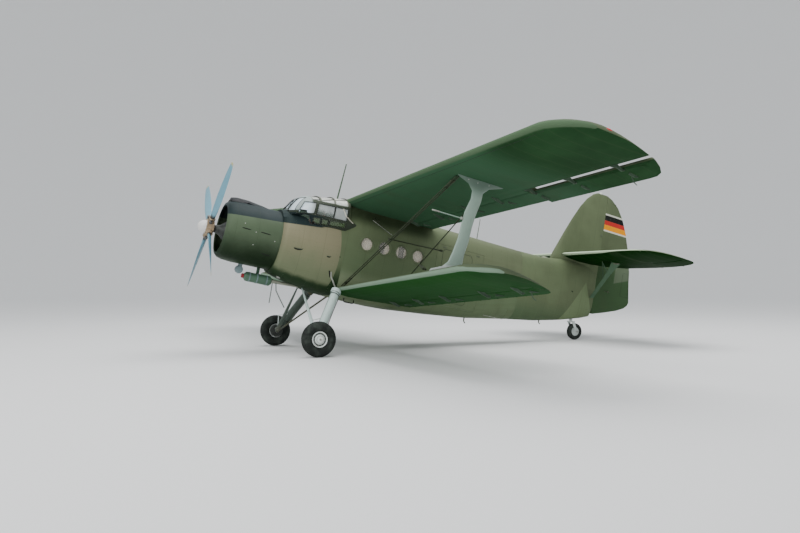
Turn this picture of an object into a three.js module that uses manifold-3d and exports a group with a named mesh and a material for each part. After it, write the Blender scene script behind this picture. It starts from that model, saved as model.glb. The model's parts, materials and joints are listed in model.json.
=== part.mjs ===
// Single-engine transport biplane, parked on its wheels. Millimetres, +Z up, nose towards -Y, +X to port.
// The airframe is laid out level: x to port, y aft of the main axle, z above the main axle.
// It is then pitched nose-up onto its three wheels and centred on its own box.
import * as THREE from 'three';
import { mergeGeometries, mergeVertices } from 'three/addons/utils/BufferGeometryUtils.js';
import Module from 'manifold-3d';

const wasm = await Module();
wasm.setup();

// Driving dimensions
const PITCH = 11.8 * Math.PI / 180;
const AXLE_HEIGHT = 400;
const SEAM = 0.5;
const MOVE_GAP = 8;
const SKIN = 25;

const HUB = { y: -2550, z: 2060 };
const PROP_RADIUS = 1800;
const BLADE_START = 39.3;
const COWL = { z: 2100, radius: 715, front: -2290, rear: -1005 };

const UPPER = {
  root: [850, 365, 3365], inner: -300, semi: 9088, chord: 2400, thick: 0.14, dihedral: 3.4, incidence: 3,
  hinge: 0.785, nose: 76, tipRise: 20,
  tip: [
    // way out, front edge, rear edge, thickness
    [8350, 0, 1, 1],
    [8520, 0.015, 0.995, 0.97],
    [8660, 0.04, 0.97, 0.91],
    [8777, 0.07, 0.91, 0.81],
    [8860, 0.1, 0.84, 0.72],
    [8930, 0.13, 0.76, 0.62],
    [8992, 0.16, 0.68, 0.5],
    [9045, 0.2, 0.6, 0.34],
    [9075, 0.235, 0.54, 0.2],
    [9088, 0.27, 0.49, 0.06],
  ],
};
const LOWER = {
  root: [900, 520, 1226], inner: -200, semi: 7118, chord: 2000, thick: 0.14, dihedral: 4.36, incidence: 1,
  hinge: 0.75, nose: 72, tipRise: 0,
  tip: [
    // way out, front edge, rear edge, thickness
    [6400, 0, 1, 1],
    [6560, 0.02, 0.975, 0.96],
    [6710, 0.06, 0.9, 0.88],
    [6860, 0.11, 0.785, 0.75],
    [6985, 0.165, 0.66, 0.57],
    [7070, 0.21, 0.55, 0.38],
    [7118, 0.265, 0.45, 0.15],
  ],
};
const FLAP_INNER = 985;
const UPPER_SPLIT = 5700;
const AILERON_SLOT = {
  at: 0.82, rise: 20, nose: 45, face: 33, lip: -23, lipRise: 77, slope: 29, droop: 8,
};
const LOWER_FLAP_OUTER = 6700;

const ELEVATOR_HINGE = { y: 8480, z: 3630, root: 92, tip: 66 };
const RUDDER_HINGE = { y: 8665, low: 74, high: 62 };

const MAIN_WHEEL = { x: 1727, radius: 400, width: 260, bead: 178 };
const TAIL_WHEEL = { y: 8190, radius: 235, width: 170, trail: 120 };
const DOOR = { y0: 2950, y1: 4400, z0: 1400, z1: 2900, hingeZ: 2925 };
const ROUND_WINDOWS = { first: 1032, pitch: 467, count: 4, z: 2439, radius: 150 };

// Colours
const OLIVE = 0x6f7d63;
const DARK_GREEN = 0x4b5a45;
const TAN = 0xa89f86;
const SLATE = 0x5f6b70;
const PALE_BLUE = 0xc3d0d2;
const TEAL = 0x8fb3b8;
const WHITE = 0xe8e8e4;
const RUBBER = 0x1d1e20;
const METAL = 0x8b8f92;
const GLASS = 0xa9c0cc;
const INTERIOR = 0x6b7a7c;

const level = new THREE.Matrix4().makeTranslation(0, 0, AXLE_HEIGHT)
  .multiply(new THREE.Matrix4().makeRotationX(-PITCH));
const aircraft = new THREE.Group();
aircraft.name = 'aircraft';
aircraft.userData.axes = {};

// Geometry helpers
function closed(vertices, triangles) {
  const g = new THREE.BufferGeometry();
  g.setAttribute('position', new THREE.Float32BufferAttribute(vertices, 3));
  g.setIndex(triangles);
  let volume = 0;
  const a = new THREE.Vector3();
  const b = new THREE.Vector3();
  const c = new THREE.Vector3();
  const p = g.attributes.position;
  for (let i = 0; i < triangles.length; i += 3) {
    a.fromBufferAttribute(p, triangles[i]);
    b.fromBufferAttribute(p, triangles[i + 1]);
    c.fromBufferAttribute(p, triangles[i + 2]);
    volume += a.dot(b.cross(c));
  }
  if (volume < 0) {
    for (let i = 0; i < triangles.length; i += 3) {
      [triangles[i + 1], triangles[i + 2]] = [triangles[i + 2], triangles[i + 1]];
    }
    g.setIndex(triangles);
  }
  return g;
}

function loft(rings) {
  const n = rings[0].length;
  const triangles = [];
  for (let r = 0; r < rings.length - 1; r += 1) {
    for (let i = 0; i < n; i += 1) {
      const a = r * n + i;
      const b = r * n + (i + 1) % n;
      triangles.push(a, b, b + n, a, b + n, a + n);
    }
  }
  const vertices = rings.flat(2);
  [0, rings.length - 1].forEach((r, end) => {
    const centre = vertices.length / 3;
    vertices.push(...[0, 1, 2].map((k) => rings[r].reduce((sum, p) => sum + p[k], 0) / n));
    for (let i = 0; i < n; i += 1) {
      const a = r * n + i;
      const b = r * n + (i + 1) % n;
      triangles.push(centre, ...(end === 0 ? [b, a] : [a, b]));
    }
  });
  return closed(vertices, triangles);
}

function solid(geometry) {
  const g = geometry.clone();
  g.deleteAttribute('normal');
  g.deleteAttribute('uv');
  const merged = mergeVertices(g, 1e-3);
  const mesh = new wasm.Mesh({
    numProp: 3,
    vertProperties: Float32Array.from(merged.attributes.position.array),
    triVerts: Uint32Array.from(merged.index.array),
  });
  return new wasm.Manifold(mesh);
}

function geometryOf(manifold) {
  const mesh = manifold.getMesh();
  const g = new THREE.BufferGeometry();
  g.setAttribute('position', new THREE.BufferAttribute(Float32Array.from(mesh.vertProperties), 3));
  g.setIndex(Array.from(mesh.triVerts));
  return g;
}

const joined = (list) => list.reduce((a, b) => a.add(b));
const mirrored = (m) => m.mirror([1, 0, 0]);
const both = (m) => m.add(mirrored(m));

function box(x0, x1, y0, y1, z0, z1) {
  const g = new THREE.BoxGeometry(x1 - x0, y1 - y0, z1 - z0);
  g.translate((x0 + x1) / 2, (y0 + y1) / 2, (z0 + z1) / 2);
  return solid(g);
}

function lathe(points, segments, axis, centre) {
  const g = new THREE.LatheGeometry(points.map(([r, t]) => new THREE.Vector2(r, t)), segments);
  if (axis === 'x') g.rotateZ(-Math.PI / 2);
  if (axis === 'z') g.rotateX(Math.PI / 2);
  g.translate(...centre);
  const m = solid(g);
  return m.volume() < 0 ? solid(flipped(g)) : m;
}

function flipped(g) {
  const index = Array.from(g.index.array);
  for (let i = 0; i < index.length; i += 3) [index[i + 1], index[i + 2]] = [index[i + 2], index[i + 1]];
  const out = g.clone();
  out.setIndex(index);
  return out;
}

// A straight bar between two points, round or oval, that may taper.
function bar(from, to, size0, size1 = size0, sides = 8, wide = [0, 1, 0]) {
  const a = new THREE.Vector3(...from);
  const b = new THREE.Vector3(...to);
  const along = b.clone().sub(a).normalize();
  const u = new THREE.Vector3(...(Math.abs(along.y) > 0.9 && wide[1] === 1 ? [1, 0, 0] : wide));
  u.addScaledVector(along, -along.dot(u)).normalize();
  const v = along.clone().cross(u);
  const rings = [[a, size0], [b, size1]].map(([p, size]) => {
    const [ru, rv] = Array.isArray(size) ? size : [size, size];
    return Array.from({ length: sides }, (_, i) => {
      const t = (i / sides) * 2 * Math.PI;
      const q = p.clone().addScaledVector(u, ru * Math.cos(t)).addScaledVector(v, rv * Math.sin(t));
      return [q.x, q.y, q.z];
    });
  });
  return solid(loft(rings));
}

function node(name, shape, colour, parked = false) {
  const parts = Array.isArray(shape) ? shape : [shape];
  const geometry = mergeGeometries(parts.map(geometryOf));
  if (!parked) geometry.applyMatrix4(level);
  geometry.computeVertexNormals();
  const mesh = new THREE.Mesh(geometry, new THREE.MeshStandardMaterial({ color: colour, roughness: 0.6 }));
  mesh.name = name;
  aircraft.add(mesh);
  return mesh;
}

function axis(name, point, direction, parked = false) {
  const p = new THREE.Vector3(...point);
  const q = p.clone().add(new THREE.Vector3(...direction));
  if (!parked) {
    p.applyMatrix4(level);
    q.applyMatrix4(level);
  }
  aircraft.userData.axes[name] = { point: p, direction: q.sub(p).normalize() };
}

// Fuselage: stations along y with half width, belly, widest height, roof and squareness
const STATIONS = [
  // y, half width, belly, widest, roof, squareness
  [-1004, 716, 1325, 2090, 2870, 2.1],
  [-850, 740, 1268, 2070, 2911, 2.25],
  [-700, 762, 1230, 2050, 2950, 2.4],
  [-380, 812, 1168, 2000, 3000, 2.9],
  [0, 862, 1100, 1950, 3150, 3.5],
  [360, 893, 1074, 1900, 3440, 4.4],
  [700, 900, 1058, 1900, 3545, 5],
  [1100, 900, 1040, 1900, 3575, 5],
  [1800, 900, 1030, 1900, 3515, 5],
  [2300, 898, 1045, 1920, 3430, 5],
  [2800, 892, 1085, 1950, 3382, 4.8],
  [3500, 850, 1142, 2000, 3378, 4.4],
  [4400, 745, 1235, 2150, 3375, 3.9],
  [5750, 540, 1450, 2350, 3372, 3.2],
  [6650, 400, 1575, 2500, 3388, 2.8],
  [7290, 300, 1702, 2600, 3480, 2.6],
  [7600, 250, 1766, 2650, 3515, 2.5],
  [8300, 135, 1950, 2700, 3524, 2.3],
  [8650, 72, 2075, 2700, 3524, 2.2],
];
const RING = 28;

function stationAt(y) {
  const k = STATIONS.findIndex((row) => row[0] >= y);
  const i = Math.max(1, k < 0 ? STATIONS.length - 1 : k);
  const [a, b] = [STATIONS[i - 1], STATIONS[i]];
  const t = (y - a[0]) / (b[0] - a[0]);
  return a.map((value, c) => value + (b[c] - value) * t);
}

function hullRing([y, w, low, mid, top, n], inset) {
  return Array.from({ length: RING }, (_, i) => {
    const t = ((i + 0.5) / RING) * 2 * Math.PI;
    const cx = Math.cos(t);
    const cz = Math.sin(t);
    const x = (w - inset) * Math.sign(cx) * Math.abs(cx) ** (2 / n);
    const reach = cz > 0 ? top - mid - inset : mid - low - inset;
    return [x, y, mid + reach * Math.sign(cz) * Math.abs(cz) ** (2 / n)];
  });
}

function hull(y0, y1, inset = 0) {
  const rows = [stationAt(y0), ...STATIONS.filter(([y]) => y > y0 + 1 && y < y1 - 1), stationAt(y1)];
  return solid(loft(rows.map((row) => hullRing(row, inset))));
}

// Wing panels: a full form in its own frame, cut into the fixed part and its hinged surfaces
const FOIL = [1, 0.9, 0.76, 0.6, 0.44, 0.3, 0.18, 0.09, 0.035, 0.008];

function foil(chord, thick, camber = 0.03) {
  const half = (u) => 5 * thick * (0.2969 * Math.sqrt(u) - 0.126 * u - 0.3516 * u * u
    + 0.2843 * u ** 3 - 0.1015 * u ** 4) + 0.0012;
  const line = (u) => (u < 0.4 ? camber * (0.8 * u - u * u) / 0.16 : camber * (0.2 + 0.8 * u - u * u) / 0.36);
  const top = FOIL.map((u) => [u * chord, (line(u) + half(u)) * chord]);
  const low = FOIL.map((u) => [u * chord, (line(u) - half(u)) * chord]).reverse();
  return [...top, [0, 0], ...low];
}

function foilMid(u, chord, camber = 0.03) {
  return camber * chord * (u < 0.4 ? (0.8 * u - u * u) / 0.16 : (0.2 + 0.8 * u - u * u) / 0.36);
}

// Region aft of a hinge: its front is an arc about the hinge, cut off at the two lip angles
function aftRegion(x0, x1, y, z, r0, r1, lipTop, lipLow, steps = 8, tall = 600, deep = 2600) {
  const ring = (x, r) => {
    const points = [];
    for (let i = 0; i <= steps; i += 1) {
      const t = (lipTop + (360 - lipTop - lipLow) * (i / steps)) * Math.PI / 180;
      points.push([x, y + r * Math.cos(t), z + r * Math.sin(t)]);
    }
    const last = points[points.length - 1];
    points.push([x, last[1], z - tall], [x, y + deep, z - tall], [x, y + deep, z + tall]);
    points.push([x, points[0][1], z + tall]);
    return points;
  };
  return solid(loft([ring(x0, r0), ring(x1, r1)]));
}

function wingMatrix(w) {
  return new THREE.Matrix4().makeTranslation(...w.root)
    .multiply(new THREE.Matrix4().makeRotationY(-w.dihedral * Math.PI / 180))
    .multiply(new THREE.Matrix4().makeRotationX(-w.incidence * Math.PI / 180));
}

function moved(m, matrix) {
  const g = geometryOf(m);
  g.applyMatrix4(matrix);
  return solid(g);
}

function wingForm(w) {
  const cos = Math.cos(w.dihedral * Math.PI / 180);
  const span = (x) => (x - w.root[0]) / cos;
  const rings = [];
  const add = (x, front, back, squeeze) => {
    const c = (back - front) * w.chord;
    rings.push(foil(c, w.thick * squeeze / (back - front), 0.03 * squeeze / (back - front))
      .map(([y, z]) => [x, y + front * w.chord, z + w.tipRise * (1 - squeeze)]));
  };
  add(w.inner, 0, 1, 1);
  w.tip.forEach(([x, front, back, squeeze]) => add(span(x), front, back, squeeze));
  return solid(loft(rings));
}

// Closed slot: the cove is an arc about the hinge, its lips cut back as far as the surface swings
function closedSlot(w, lipLow, lipTop) {
  const y = w.hinge * w.chord;
  const z = foilMid(w.hinge, w.chord);
  const wide = w.nose + MOVE_GAP;
  return {
    y, z, droop: 0,
    cove: (x0, x1) => aftRegion(x0, x1, y, z, wide, wide, lipTop, lipLow),
    piece: (x0, x1) => aftRegion(x0, x1, y, z, w.nose, w.nose, 90, 90),
  };
}

// Open slot: air passes from below, over the surface's small nose and under the fixed part's thin rear lip
function openSlot(w, slot) {
  const y = slot.at * w.chord;
  const z = slot.rise;
  const rad = Math.PI / 180;
  const lipY = y + slot.lip;
  const lipZ = z + slot.lipRise;
  const lowZ = lipZ - 600 * Math.tan(slot.slope * rad);
  const coveRing = (x) => [
    [x, lipY, z + 600], [x, lipY, lipZ], [x, lipY - 600, lowZ], [x, y + 2600, lowZ], [x, y + 2600, z + 600],
  ];
  const pieceRing = (x) => {
    const arc = Array.from({ length: 9 }, (_, i) => (90 + slot.face + (180 - slot.face) * (i / 8)) * rad)
      .map((a) => [x, y + slot.nose * Math.cos(a), z + slot.nose * Math.sin(a)]);
    const run = (z + 600 - arc[0][2]) / Math.tan(slot.face * rad);
    const behind = [[x, y, z - 600], [x, y + 2600, z - 600], [x, y + 2600, z + 600]];
    return [...arc, ...behind, [x, arc[0][1] + run, z + 600]];
  };
  return {
    y, z, droop: slot.droop,
    cove: (x0, x1) => solid(loft([coveRing(x0), coveRing(x1)])),
    piece: (x0, x1) => solid(loft([pieceRing(x0), pieceRing(x1)])),
  };
}

function wing(w, pieces) {
  const cos = Math.cos(w.dihedral * Math.PI / 180);
  const span = (x) => (x - w.root[0]) / cos;
  const form = wingForm(w);
  const matrix = wingMatrix(w);
  const coves = joined(pieces.map(([, x0, x1, slot]) => slot.cove(span(x0) - 10, span(x1) + 10)));
  const out = { fixed: moved(form.subtract(coves), matrix), form: moved(form, matrix), hinge: {} };
  pieces.forEach(([name, x0, x1, slot]) => {
    const { y, z, droop } = slot;
    const piece = form.intersect(slot.piece(span(x0), span(x1)));
    out[name] = moved(piece.translate([0, -y, -z]).rotate([-droop, 0, 0]).translate([0, y, z]), matrix);
    const p = new THREE.Vector3(span(x0), y, z).applyMatrix4(matrix);
    const q = new THREE.Vector3(span(x0) + 100, y, z).applyMatrix4(matrix);
    out.hinge[name] = [p.toArray(), q.sub(p).normalize().toArray()];
  });
  return out;
}

// Fuselage skins
const noseHull = hull(-1004, 500);
const cabinHull = hull(500 + SEAM, 5750);
const tailHull = hull(5750 + SEAM, 8650);
const hullGrown = both(joined([
  hull(-1004, 500, -SEAM), hull(500, 500 + SEAM, -SEAM), hull(500 + SEAM, 5750, -SEAM),
  hull(5750, 5750 + SEAM, -SEAM), hull(5750 + SEAM, 8650, -SEAM),
]));

// Canopy: stations with half width, sill and roof
const CANOPY = [
  // y, half width, sill, widest, roof, squareness
  [-870, 420, 2700, 2740, 2905, 2.4],
  [-800, 560, 2740, 2790, 3028, 2.5],
  [-720, 680, 2742, 2820, 3160, 2.6],
  [-640, 760, 2745, 2850, 3255, 2.7],
  [-560, 800, 2735, 2880, 3300, 2.75],
  [-483, 825, 2700, 2900, 3317, 2.8],
  [-410, 848, 2480, 2900, 3335, 2.8],
  [-192, 885, 2450, 2900, 3380, 3],
  [130, 935, 2470, 2900, 3430, 3.2],
  [340, 968, 2480, 2905, 3455, 3.4],
  [430, 965, 2490, 2900, 3465, 3.5],
  [560, 930, 2590, 2870, 3475, 3.5],
  [690, 885, 2700, 2830, 3480, 3.5],
];
const CANOPY_END = 430;
function canopyForm(inset) {
  return solid(loft(CANOPY.map((row, k) => {
    const shift = k === 0 ? inset * 1.5 : 0;
    return hullRing(row, inset).map(([x, y, z]) => [x, y + shift, z]);
  })));
}
const canopyFront = box(-1200, 1200, -900, CANOPY_END, 2300, 3700);
const canopyGrown = canopyForm(-2 * SEAM).intersect(box(-1200, 1200, -900, CANOPY_END + SEAM, 2300, 3700));
const canopyInner = canopyForm(16).add(box(-760, 760, -620, 700, 2430, 2800));
// Behind the glazing the side bulge runs out in a pointed fairing
const bulgeEnd = solid(loft([-1200, 1200].map((x) => [
  [x, CANOPY_END - 12, 2300], [x, 720, 2300], [x, 720, 2815], [x, CANOPY_END - 12, 2915],
])));
const canopyShell = canopyForm(0).subtract(canopyInner).intersect(canopyFront)
  .add(canopyForm(0).intersect(bulgeEnd).subtract(hullGrown));

// Panes: cutters through the canopy shell, each a four-sided outline run sideways or upwards
const SIDE_PANES = [
  // corners as y and z: front low, rear low, rear high, front high
  [[-745, 2800], [-405, 2862], [-380, 3115], [-630, 3095]],
  [[-345, 2850], [58, 2850], [58, 3120], [-310, 3112]],
  [[82, 2850], [375, 2850], [375, 3125], [82, 3120]],
  [[-378, 2642], [-215, 2645], [-230, 2768], [-378, 2765]],
  [[-178, 2648], [-40, 2652], [-40, 2772], [-190, 2768]],
  [[5, 2660], [375, 2680], [375, 2795], [0, 2775]],
];
const ROOF_PANES = [
  // front, rear
  [-450, -290],
  [-250, 45],
  [80, 375],
];
const FRONT_PANES = [
  // inner, outer, low
  [-560, -232, 2860],
  [-196, 196, 2925],
  [232, 560, 2860],
];
const acrossX = (corners, x0, x1) => solid(loft([x0, x1].map((x) => corners.map(([y, z]) => [x, y, z]))));
const paneCut = joined([
  ...SIDE_PANES.map((corners) => both(acrossX(corners, 500, 1200))),
  ...ROOF_PANES.map(([y0, y1]) => both(box(70, 1200, y0, y1, 3195, 3600))),
  ...FRONT_PANES.map(([x0, x1, low]) => box(x0, x1, -900, -600, low, 3225)),
]);
const canopyFrame = canopyShell.subtract(paneCut);
const canopyGlass = canopyForm(16.6).subtract(canopyForm(21))
  .subtract(box(-1000, 1000, -900, -640, 2400, 2845))
  .subtract(box(-780, 780, -700, 700, 2400, 2900))
  .intersect(box(-1200, 1200, -836, CANOPY_END - 16, 2620, 3600));

// Wings
const upper = wing(UPPER, [
  ['flap', FLAP_INNER, UPPER_SPLIT - 8, closedSlot(UPPER, 138, 126)],
  ['aileron', UPPER_SPLIT + 8, UPPER.semi + 100, openSlot(UPPER, AILERON_SLOT)],
]);
const lower = wing(LOWER, [
  ['flap', FLAP_INNER, LOWER_FLAP_OUTER, closedSlot(LOWER, 138, 92)],
]);

const upperPort = upper.fixed.subtract(hullGrown).subtract(canopyGrown);
const lowerPort = lower.fixed.subtract(hullGrown);
node('wing_upper_port', upperPort, OLIVE);
node('wing_upper_stbd', mirrored(upperPort), OLIVE);
node('wing_lower_port', lowerPort, OLIVE);
node('wing_lower_stbd', mirrored(lowerPort), OLIVE);
[['aileron', upper, 'aileron'], ['flap_upper', upper, 'flap'], ['flap_lower', lower, 'flap']]
  .forEach(([name, w, key]) => {
    node(`${name}_port`, w[key], OLIVE);
    node(`${name}_stbd`, mirrored(w[key]), OLIVE);
    const [p, d] = w.hinge[key];
    axis(`${name}_port`, p, d);
    axis(`${name}_stbd`, [-p[0], p[1], p[2]], [-d[0], d[1], d[2]]);
  });

// Interplane struts, one each side, and the tension wires between the wings
const strutRings = [
  // x, front, rear, height
  [5262, 560, 1400, 1560],
  [5268, 640, 1380, 1700],
  [5275, 860, 1300, 1790],
  [5285, 960, 1270, 1900],
  [5300, 1011, 1270, 2110],
  [5330, 1050, 1300, 2370],
  [5370, 1045, 1290, 2620],
  [5420, 1045, 1300, 2880],
  [5465, 1100, 1335, 3130],
  [5490, 1085, 1330, 3290],
  [5500, 980, 1440, 3400],
  [5510, 760, 1700, 3480],
  [5515, 690, 1810, 3530],
  [5520, 670, 1830, 3640],
].map(([x, front, rear, z]) => {
  const half = (rear - front) / 2;
  return Array.from({ length: 12 }, (_, i) => {
    const t = (i / 12) * 2 * Math.PI;
    return [x + 38 * Math.sin(t), (front + rear) / 2 - half * Math.cos(t), z];
  });
});
const strut = solid(loft(strutRings))
  .subtract(upper.fixed).subtract(upper.fixed.translate([0, 0, -SEAM]))
  .subtract(lower.fixed).subtract(lower.fixed.translate([0, 0, SEAM]));
const strutBody = strut.decompose().sort((a, b) => b.volume() - a.volume())[0];
const offWings = (m) => m.subtract(upper.fixed).subtract(upper.fixed.translate([0, 0, -SEAM]))
  .subtract(lower.fixed).subtract(lower.fixed.translate([0, 0, SEAM])).decompose()
  .sort((a, b) => b.volume() - a.volume())[0];

const WIRES = [
  // inner end, outer end, offset of the second wire
  [[960, 575, 1330], [5440, 730, 3490], 50],
  [[930, 1039, 3105], [5142, 600, 1640], 50],
  [[950, 1880, 1310], [5480, 1310, 3290], 0],
];
const SPREADER = { front: [3100, 635, 2368], rear: [3372, 1750, 2356] };
const wireSet = joined([
  ...WIRES.flatMap(([a, b, gap]) => {
    const one = bar(a, b, 13, 13, 6);
    return gap ? [one, one.translate([0, gap, 0])] : [one];
  }),
  bar(SPREADER.front, SPREADER.rear, 14, 14, 6, [0, 0, 1]),
]);

// Pitot rod and masts
const pitot = bar([5395, 1075, 2746], [5395, 389, 2757], 11, 11, 6);
const strutAlone = offWings(strutBody);
const strutGrown = strutAlone.add(strutAlone.translate([-SEAM, 0, 0]));
node('interplane_strut_port', strutAlone.add(pitot), PALE_BLUE);
node('interplane_strut_stbd', mirrored(strutAlone), PALE_BLUE);
const wires = offWings(wireSet.subtract(strutGrown));
node('bracing_wires_port', wires, METAL);
node('bracing_wires_stbd', mirrored(wires), METAL);
node('mast_front', bar([0, 380, 3497], [0, 437, 4400], [22, 12], [14, 8]), DARK_GREEN);
node('mast_rear', bar([0, 4500, 3377], [0, 4496, 3964], [13, 9], [9, 6]), DARK_GREEN);

// Fuselage nodes
const DOOR_GAP = 6;
const doorCut = box(400, 1200, DOOR.y0 - DOOR_GAP, DOOR.y1 + DOOR_GAP,
  DOOR.z0 - DOOR_GAP, DOOR.z1 + DOOR_GAP);
const windowCut = joined(Array.from({ length: ROUND_WINDOWS.count }, (_, i) => lathe(
  [[0, -1200], [ROUND_WINDOWS.radius, -1200], [ROUND_WINDOWS.radius, 1200], [0, 1200]],
  20, 'x', [0, ROUND_WINDOWS.first + i * ROUND_WINDOWS.pitch, ROUND_WINDOWS.z])));
const noseInner = hull(-984, 520, SKIN);
const cabinInner = hull(480, 5725, SKIN);
const tailInner = hull(5760, 8400, 16);
const noseSkin = noseHull.subtract(noseInner).subtract(canopyGrown);
const cabinSkin = cabinHull.subtract(cabinInner).subtract(windowCut).subtract(doorCut);
const largest = (m) => m.decompose().sort((a, b) => b.volume() - a.volume())[0];
node('nose_section', largest(noseSkin), TAN);
node('cabin_shell', largest(cabinSkin), OLIVE);
node('canopy_frame', largest(canopyFrame), OLIVE);
node('canopy_glass', largest(canopyGlass), GLASS);

const paneBand = hull(700, 2800, SKIN + SEAM).subtract(hull(600, 2900, SKIN + 5))
  .intersect(box(500, 1000, 840, 2640, ROUND_WINDOWS.z - 175, ROUND_WINDOWS.z + 175));
node('window_panes_port', paneBand, GLASS);
node('window_panes_stbd', mirrored(paneBand), GLASS);

const door = hull(2800, 4500).subtract(hull(2700, 4600, SKIN))
  .intersect(box(400, 1200, DOOR.y0, DOOR.y1, DOOR.z0, DOOR.z1));
node('cargo_door', door, OLIVE);
axis('cargo_door', [905, (DOOR.y0 + DOOR.y1) / 2, DOOR.hingeZ], [0, -1, 0]);

// Tail cone, fin and rudder
const FIN = [
  // height, front, rear, half thickness
  [2150, 7700, 8720, 20],
  [2264, 7600, 9130, 62],
  [2400, 7500, 9560, 74],
  [2523, 7400, 9830, 78],
  [2620, 7300, 9940, 79],
  [2716, 7200, 9985, 80],
  [3300, 6900, 9880, 80],
  [3605, 6989, 9840, 78],
  [4267, 7272, 9655, 70],
  [4700, 7470, 9490, 62],
  [5107, 7680, 9280, 52],
  [5400, 7880, 9050, 40],
  [5586, 8080, 8791, 24],
  [5660, 8240, 8600, 10],
];
const SYM = [
  // part of the chord, part of the half thickness
  [0, 0], [0.03, 0.42], [0.12, 0.78], [0.28, 1], [0.5, 0.92], [0.7, 0.68], [0.86, 0.38], [1, 0.05],
];
function symRing(front, rear, half, place) {
  const chord = rear - front;
  const one = SYM.map(([u, v]) => [front + u * chord, v * half]);
  const other = SYM.slice(1).map(([u, v]) => [front + u * chord, -v * half]).reverse();
  return [...one, ...other].map(([y, t]) => place(y, t));
}
const finForm = solid(loft(FIN.map(([z, front, rear, half]) => (
  symRing(front, rear, half, (y, t) => [t, y, z])))));

// The same kind of region turned upright for the rudder
function uprightRegion(z0, z1, r0, r1, lip) {
  const g = geometryOf(aftRegion(z0, z1, RUDDER_HINGE.y, 0, r0, r1, lip, lip));
  g.applyMatrix4(new THREE.Matrix4().set(0, 0, -1, 0, 0, 1, 0, 0, 1, 0, 0, 0, 0, 0, 0, 1));
  return solid(g);
}
const rudderCove = uprightRegion(1900, 5900, RUDDER_HINGE.low + MOVE_GAP, RUDDER_HINGE.high + MOVE_GAP, 124);
const rudder = finForm.intersect(uprightRegion(1950, 5850, RUDDER_HINGE.low, RUDDER_HINGE.high, 90));
const finFixed = largest(finForm.subtract(rudderCove)
  .subtract(hullGrown).intersect(box(-200, 200, 6500, 9000, 3000, 6000)));
node('rudder', rudder, OLIVE);
axis('rudder', [0, RUDDER_HINGE.y, 3800], [0, 0, 1]);
const tailSkin = tailHull.subtract(tailInner).subtract(rudderCove);
node('tail_cone', largest(tailSkin), OLIVE);
node('fin', finFixed, OLIVE);

// Tailplane and elevators
const TAILPLANE = [
  // x, front, rear, half thickness
  [40, 7290, 9350, 105],
  [1700, 7290, 9330, 100],
  [2400, 7290, 9260, 92],
  [2900, 7300, 9150, 80],
  [3200, 7350, 9040, 66],
  [3400, 7460, 8920, 50],
  [3540, 7680, 8760, 30],
  [3600, 7950, 8560, 12],
];
const tailForm = solid(loft(TAILPLANE.map(([x, front, rear, half]) => (
  symRing(front, rear, half, (y, t) => [x, y, ELEVATOR_HINGE.z + t])))));
const eh = ELEVATOR_HINGE;
const tailCove = aftRegion(0, 3900, eh.y, eh.z, eh.root + MOVE_GAP, eh.tip + MOVE_GAP, 138, 118);
const tailFixed = largest(tailForm.subtract(tailCove).subtract(finFixed)
  .subtract(finFixed.translate([SEAM, 0, 0])).subtract(hullGrown));
const rudderSweep = box(-1, 118, 8300, 9000, 3000, 4200).add(solid(loft([3000, 4200].map((z) => [
  [0, 8600, z], [70, 8600, z], [1020, 10400, z], [0, 10400, z],
]))));
const elevator = tailForm.intersect(aftRegion(0, 3880, eh.y, eh.z, eh.root, eh.tip, 90, 90))
  .subtract(rudderSweep).intersect(box(120, 4000, 8000, 10000, 3000, 4200));
node('elevator_port', elevator, OLIVE);
node('elevator_stbd', mirrored(elevator), OLIVE);
axis('elevator_port', [300, eh.y, eh.z], [1, 0, 0]);
axis('elevator_stbd', [-300, eh.y, eh.z], [-1, 0, 0]);

const tailStrut = bar([1500, 8115, 3600], [150, 8490, 2590], [165, 20], [80, 16], 10).subtract(hullGrown)
  .subtract(rudderCove);
const tailHalf = largest(tailFixed.add(tailStrut));
node('tailplane_port', tailHalf, OLIVE);
node('tailplane_stbd', mirrored(tailHalf), OLIVE);

// Cowl, scoop and engine
const c = COWL;
const cowlProfile = [
  [560, -2290], [620, -2278], [668, -2225], [700, -2110], [c.radius, -1900], [c.radius, c.rear],
  [690, c.rear], [690, -1900], [672, -2110], [640, -2190], [590, -2235], [560, -2250], [560, -2290],
];
node('cowl', lathe(cowlProfile, 40, 'y', [0, 0, c.z]), OLIVE);
const scoop = solid(loft([
  // y, half width, height above the cowl axis
  [-2215, 150, 712],
  [-2195, 215, 770],
  [-2056, 240, 800],
  [-1800, 240, 796],
  [-1431, 230, 745],
  [-1260, 190, 712],
].map(([y, w, top]) => Array.from({ length: 16 }, (_, i) => {
  const t = (i / 16) * 2 * Math.PI;
  return [w * Math.cos(t), y, c.z + 600 + (top - 600) * Math.sin(t)];
}))));
const cowlBody = lathe([[0, -2289], [560, -2289], ...cowlProfile.slice(1, 5), [c.radius, c.rear], [0, c.rear]]
  .map(([r, y]) => [r === 0 ? 0 : r + SEAM, y]), 40, 'y', [0, 0, c.z]);
node('air_scoop', largest(scoop.subtract(cowlBody)), SLATE);

const engineCore = lathe([
  [0, -2440], [80, -2440], [95, -2395], [120, -2300], [215, -2200], [270, -2080], [300, -2000], [300, -1740],
  [420, -1700], [420, -1560], [220, -1520], [180, -1010], [0, -1010],
], 24, 'y', [0, 0, HUB.z]);
const barrels = Array.from({ length: 9 }, (_, k) => {
  const t = (k / 9) * 2 * Math.PI;
  const outline = [[0, 240], [78, 240], [78, 420], [100, 424], [100, 600], [0, 612]];
  const barrel = lathe(outline, 10, 'z', [0, -1870, 0]);
  return barrel.rotate([0, t * 180 / Math.PI, 0]).translate([0, 0, HUB.z]);
});
node('engine', joined([engineCore, ...barrels]), METAL);

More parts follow.
